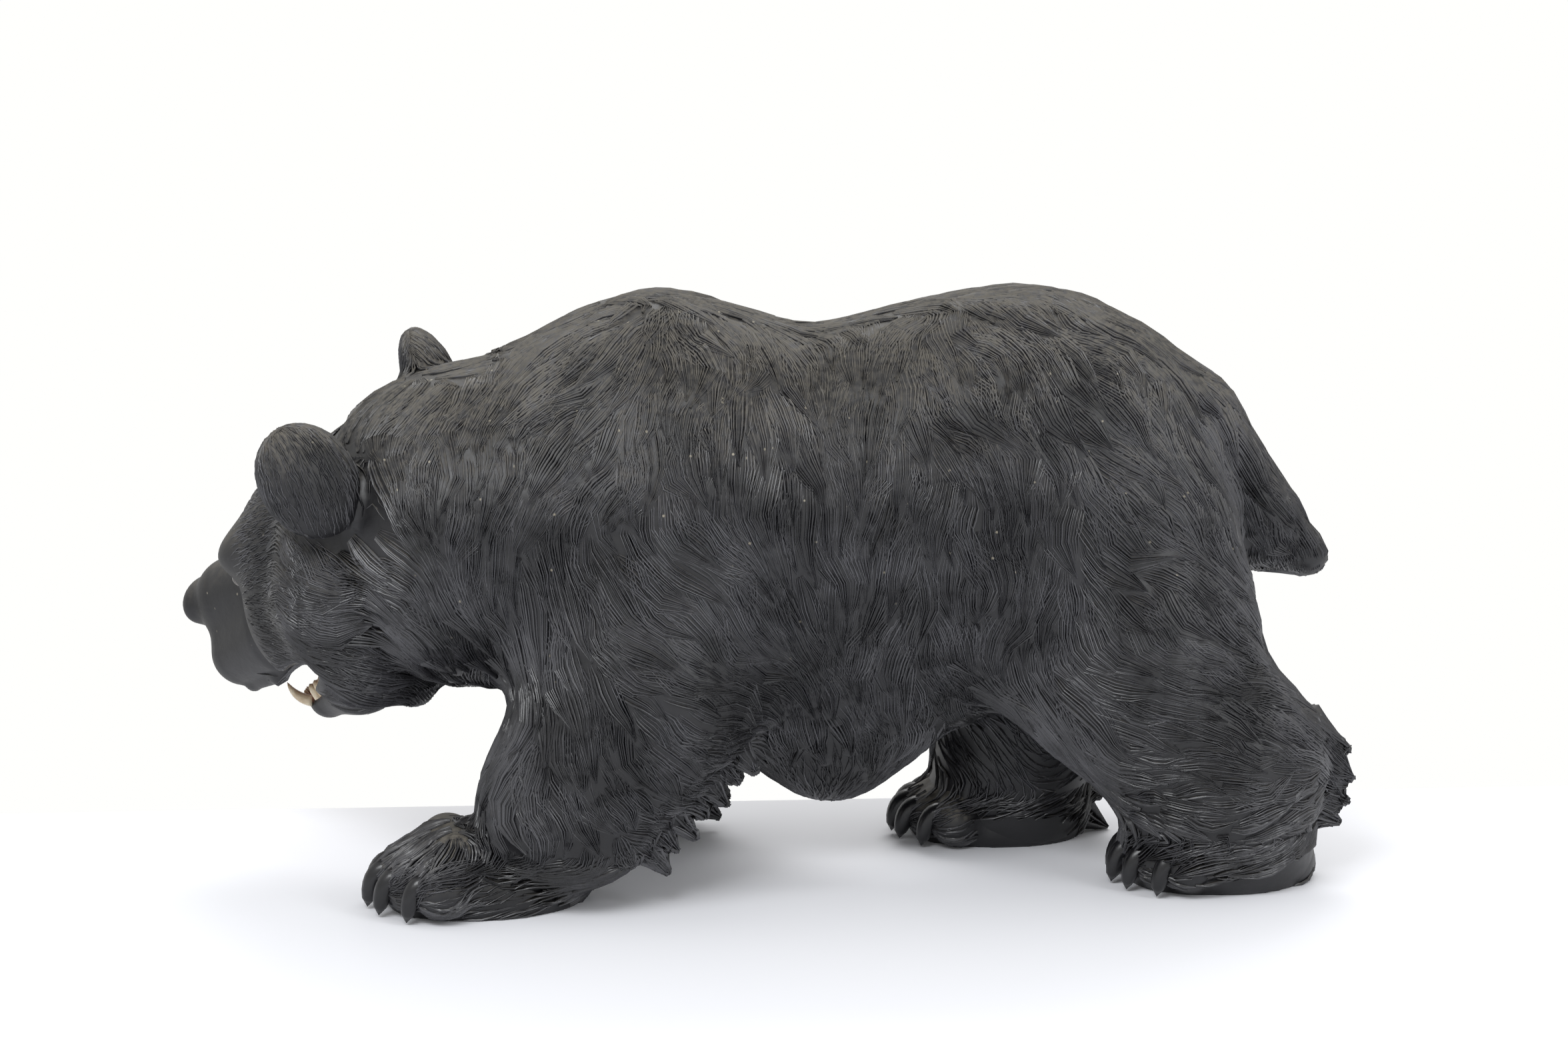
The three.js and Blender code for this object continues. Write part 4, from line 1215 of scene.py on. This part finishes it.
# %% Skin
body = mesh_object("bear_body", body_lifted, body_faces)
body.data.materials.append(under_stone)
head_local = head_place.inside(head_points)
flesh = np.min([np.abs(form(head_local)) for form in (palate, jaw_trough, tongue)], 0)
corner_cut = np.min([np.abs(form(head_local)) for form in mouth_corners], 0)
corner_cut = corner_cut + 20 * ramp(np.abs(head_local[:, 1]), 25, 29)
mouth_share = ramp(2.4 - np.minimum(flesh, corner_cut), 0, 1.4) * (head_local[:, 0] < -44)
gum_rims = both(
    lambda side: [
        limb([-60, side * 24, -62], 2.5, [-76, side * 19, -72], 3),
        limb([-76, side * 19, -72], 3, [-98, side * 9, -78], 2.5),
    ]
)
rim_share = ramp(3 - np.min([form(head_local) for form in gum_rims], 0), 0, 2.5)
head_skin = mesh_object("bear_head", head_lifted, head_faces)
head_skin.data.materials.append(face_stone)
add_numbers(head_skin, "mouth", mouth_share)
add_numbers(head_skin, "gum_rim", rim_share)
paw_skins = []
for paw, (points, slopes, faces) in zip(paws, paw_nets):
    skin = mesh_object(paw.name + "_paw", points, faces)
    skin.data.materials.append(paw_stone)
    paw_skins.append(skin)

# %% [markdown]
# The fur is split by where it lies, because a piece stays under 200,000 triangles.

# %% Fur
middles = long_ridges.places[:, 2, 0]
bounds = [-400, -118, -28, 62, 148, 400]
zones = ["neck", "shoulders", "flanks", "loins", "rump"]
fur = [
    carve_ridges("fur_" + zone, long_ridges.only((middles >= low) & (middles < high)), fur_stone)
    for zone, low, high in zip(zones, bounds, bounds[1:])
]
short_fur = {"face": face_ridges, "paws": paw_ridges, "belly": belly_ridges, "tufts": fringe_ridges}
fur += [carve_ridges("fur_" + zone, ridges, fur_stone) for zone, ridges in short_fur.items()]

# %% [markdown]
# Claws and teeth are horns: a round section that runs along a bend and narrows to a point. The
# points here are rounded by many rings, because these pieces are smooth and catch the light.

# %% Horns
def horn(start, bend, end, radius, flat=1.0, taper=0.75, sides=12, rings=9):
    start, bend, end = (np.asarray(p, float) for p in (start, bend, end))
    points, faces = [start], []
    across = np.cross([0, 0, 1.0], bend - start)
    if np.linalg.norm(across) < 0.1 * np.linalg.norm(bend - start):
        across = np.array([0, 1.0, 0])
    across /= np.linalg.norm(across)
    for ring in range(rings):
        t = ring / rings
        middle = (1 - t) ** 2 * start + 2 * t * (1 - t) * bend + t * t * end
        tangent = (1 - t) * (bend - start) + t * (end - bend)
        upward = np.cross(tangent / np.linalg.norm(tangent), across)
        width = radius * (1 - taper * t**1.6) * math.sqrt(max(1 - t**6, 0.02))
        for turn in np.arange(sides) / sides * 2 * math.pi:
            around = across * math.cos(turn) + upward * flat * math.sin(turn)
            points.append(middle + around * width)
    points.append(end)
    last = len(points) - 1
    for i in range(sides):
        j = (i + 1) % sides
        faces.append([0, 1 + j, 1 + i])
        for ring in range(rings - 1):
            a, b = 1 + ring * sides + i, 1 + ring * sides + j
            faces.append([a, b, b + sides, a + sides])
        faces.append([1 + (rings - 1) * sides + i, 1 + (rings - 1) * sides + j, last])
    return np.array(points), faces


def gathered(name, horns, material):
    """One mesh of many horns, with all faces outwards."""
    points, faces, count = [], [], 0
    for horn_points, horn_faces in horns:
        points.append(horn_points)
        faces += [[count + n for n in face] for face in horn_faces]
        count += len(horn_points)
    mesh = bpy.data.meshes.new(name)
    mesh.from_pydata(((np.concatenate(points) + CENTRING) * MM).tolist(), [], faces)
    mesh.update()
    fix = bmesh.new()
    fix.from_mesh(mesh)
    bmesh.ops.recalc_face_normals(fix, faces=fix.faces)
    fix.to_mesh(mesh)
    fix.free()
    mesh.shade_smooth()
    mesh.materials.append(material)
    made = bpy.data.objects.new(name, mesh)
    bpy.context.scene.collection.objects.link(made)
    return made


# %% [markdown]
# A bear can't draw its claws in. Each comes out of the end of its toe, arches and points down
# to the floor.

# %% Claws
CLAW_LENGTH = 14
CLAW_WIDTH = 12
claws = []
for paw in paws:
    for _, (x, y, z), radius, splay in paw.toes():
        start = np.array([x - radius * 0.35, y, z + 4])
        ahead = np.array([-1, splay * 0.35, 0])
        ahead /= np.linalg.norm(ahead)
        bend = start + ahead * CLAW_LENGTH * 0.8 + [0, 0, 3]
        end = start + ahead * CLAW_LENGTH
        end[2] = 1.5
        points, faces = horn(start, bend, end, CLAW_WIDTH / 2, flat=1.15, taper=0.3)
        claws.append((paw.place.outside(points), faces))
claw_piece = gathered("claws", claws, claw_stone)
print("claws:", len(claws))

# %% [markdown]
# The teeth are the same stone, glazed cream like old ivory with browner patches. Two fangs
# bend up and two bend down, small front teeth stand between them, and the molars follow.

# %% Teeth
FANG, MOLAR = 21, 8
teeth = []


def tooth(start, length, radius, bend_share, tip_share, **more):
    start = np.array(start, float)
    bend, tip = (start + length * np.array(share, float) for share in (bend_share, tip_share))
    points, faces = horn(start, bend, tip, radius, **more)
    teeth.append((head_place.outside(points), faces))


for side in (-1, 1):
    tooth([-118, side * 10, -46], FANG, 4.4, [-0.14, side * 0.1, -0.5], [0.14, side * 0.05, -1])
    tooth([-93, side * 11, -82], FANG * 0.85, 3.3, [-0.5, side * 0.14, 0.3], [-0.5, side * 0.1, 0.86])
    for i in range(5):
        root = [-62 - i * 5.6, side * (18 - i * 1.2), -73 - i * 1.8]
        tooth(root, MOLAR * 1.15, 3.1, [-0.12, 0, 0.6], [-0.25, 0, 1], taper=0.4)
    for i in range(4):
        tooth([-60 - i * 10, side * 17, -50], MOLAR * 0.9, 3.8, [0, 0, -0.6], [0, 0, -1], taper=0.5)
    for i in range(3):
        tooth([-127 + i, side * (1.6 + 3.2 * i), -46], 9, 1.9, [0, 0, -0.5], [0.05, 0, -1], taper=0.35)
        tooth([-99 + i, side * (1.3 + 2.6 * i), -84], 8, 1.6, [-0.2, 0, 0.6], [-0.25, 0, 1], taper=0.35)

ivory = Shading("ivory_glaze")
ivory_cloud = ivory.noise(150, 3)
ivory_colour = ivory.mix(ivory_cloud.ramp(0.35, 0.75), shade(0.62, 0.53, 0.38), shade(0.36, 0.24, 0.12))
ivory_stone = ivory.finish(ivory_colour, 0.22 + ivory_cloud * 0.2, ivory_cloud, 0.1, Coat_Weight=0.3)
tooth_piece = gathered("teeth", teeth, ivory_stone)
print("teeth:", len(teeth))

# %% [markdown]
# The eyes are small and deep under the brow: a dark ball clouded faintly brown, polished until
# it is wet black.

# %% Eyes
EYE_RADIUS = 6.8
eyes = []
for side in (-1, 1):
    look = np.array([-0.8, side * 0.6, 0.0])
    look /= np.linalg.norm(look)
    ring_way = np.cross(look, [0, 0, 1.0])
    up_way = np.cross(ring_way, look)
    points, faces = [look * EYE_RADIUS * 1.06], []
    rings, sides = 12, 24
    for ring in range(1, rings):
        angle = math.pi * ring / rings
        bulge = 1 + 0.06 * max(0, math.cos(angle)) ** 6
        for turn in np.arange(sides) / sides * 2 * math.pi:
            around = ring_way * math.cos(turn) + up_way * math.sin(turn)
            points.append(EYE_RADIUS * bulge * (look * math.cos(angle) + around * math.sin(angle)))
    points.append(-look * EYE_RADIUS)
    for i in range(sides):
        j = (i + 1) % sides
        faces.append([0, 1 + i, 1 + j])
        for ring in range(rings - 2):
            a, b = 1 + ring * sides + i, 1 + ring * sides + j
            faces.append([a, a + sides, b + sides, b])
        faces.append([1 + (rings - 2) * sides + i, len(points) - 1, 1 + (rings - 2) * sides + j])
    eyes.append((head_place.outside(np.array(points) + [-78, side * 28, 5]), faces))
eye_shading = Shading("eye_glaze")
eye_cloud = eye_shading.noise(300, 3)
eye_colour = eye_shading.mix(eye_cloud, shade(0.004, 0.003, 0.003), shade(0.03, 0.014, 0.007))
eye_material = eye_shading.finish(eye_colour, 0.06 + eye_cloud * 0.05, Coat_Weight=0.6)
eye_piece = gathered("eyes", eyes, eye_material)

# %% [markdown]
# All of these pieces are one carving. They ride on the only body and stand in for the CAD bear.

# %% One carving
pieces = [body, head_skin, *paw_skins, *fur, claw_piece, tooth_piece, eye_piece]
for piece in pieces:
    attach(piece, "root")
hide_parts("bear")
triangles = sum(len(p.vertices) - 2 for piece in pieces for p in piece.data.polygons)
print("pieces:", len(pieces), "triangles:", triangles)

# %% [markdown]
# The photograph shows a white table whose back edge crosses the picture behind the paws, and a
# white wall that is so bright that it has no tone. The table is a thin slab, and the world is
# the wall.

# %% Table
table_corners = [(-2500, 230, 0), (2500, 39, 0), (2500, -2500, 0), (-2500, -2500, 0)]
drawn_corners = np.array(table_corners) - CENTRING
table = mesh_object("table", drawn_corners, [[3, 2, 1, 0]], smooth=False)
slab = table.modifiers.new("slab", "SOLIDIFY")
slab.thickness = 0.02
slab.offset = -1
table_shading = Shading("table_white")
table_cloud = table_shading.noise(3, 2)
table_colour = table_shading.mix(table_cloud, shade(0.84, 0.845, 0.885), shade(0.87, 0.872, 0.905))
table.data.materials.append(table_shading.finish(table_colour, 0.6))

# %% [markdown]
# The light is a studio's: a large soft box above and to the left, in front of the bear, a weaker
# one to the right, and white walls all round. The walls look brighter to the camera than they
# shine on the bear, so that the wall behind burns out as it does in the photograph.

# %% Light
def soft_box(name, place, size, power, colour=(1, 1, 1)):
    light = bpy.data.lights.new(name, "AREA")
    light.shape = "RECTANGLE"
    light.size, light.size_y = size
    light.energy = power
    light.color = colour
    made = bpy.data.objects.new(name, light)
    aim = Vector(place) - Vector((0, 0, 0.15))
    made.location = place
    made.rotation_euler = aim.to_track_quat("Z", "Y").to_euler()
    bpy.context.scene.collection.objects.link(made)


soft_box("key_light", (-0.9, -1.5, 1.8), (1.4, 0.7), 34, (0.96, 0.98, 1))
soft_box("fill_light", (1.6, -1.6, 1.2), (0.7, 1.1), 14, (0.96, 0.98, 1))
soft_box("rim_light", (0.3, 1.5, 1.8), (1.8, 0.8), 18)
world = bpy.data.worlds.new("white_studio")
bpy.context.scene.world = world
world.use_nodes = True
walls = world.node_tree.nodes["Background"]
rays = world.node_tree.nodes.new("ShaderNodeLightPath")
brightness = world.node_tree.nodes.new("ShaderNodeMapRange")
brightness.inputs["To Min"].default_value = 0.8
brightness.inputs["To Max"].default_value = 1.0
world.node_tree.links.new(rays.outputs["Is Camera Ray"], brightness.inputs["Value"])
world.node_tree.links.new(brightness.outputs["Result"], walls.inputs["Strength"])
walls.inputs["Color"].default_value = (1, 1, 0.985, 1)
bpy.context.scene.view_settings.view_transform = "Standard"
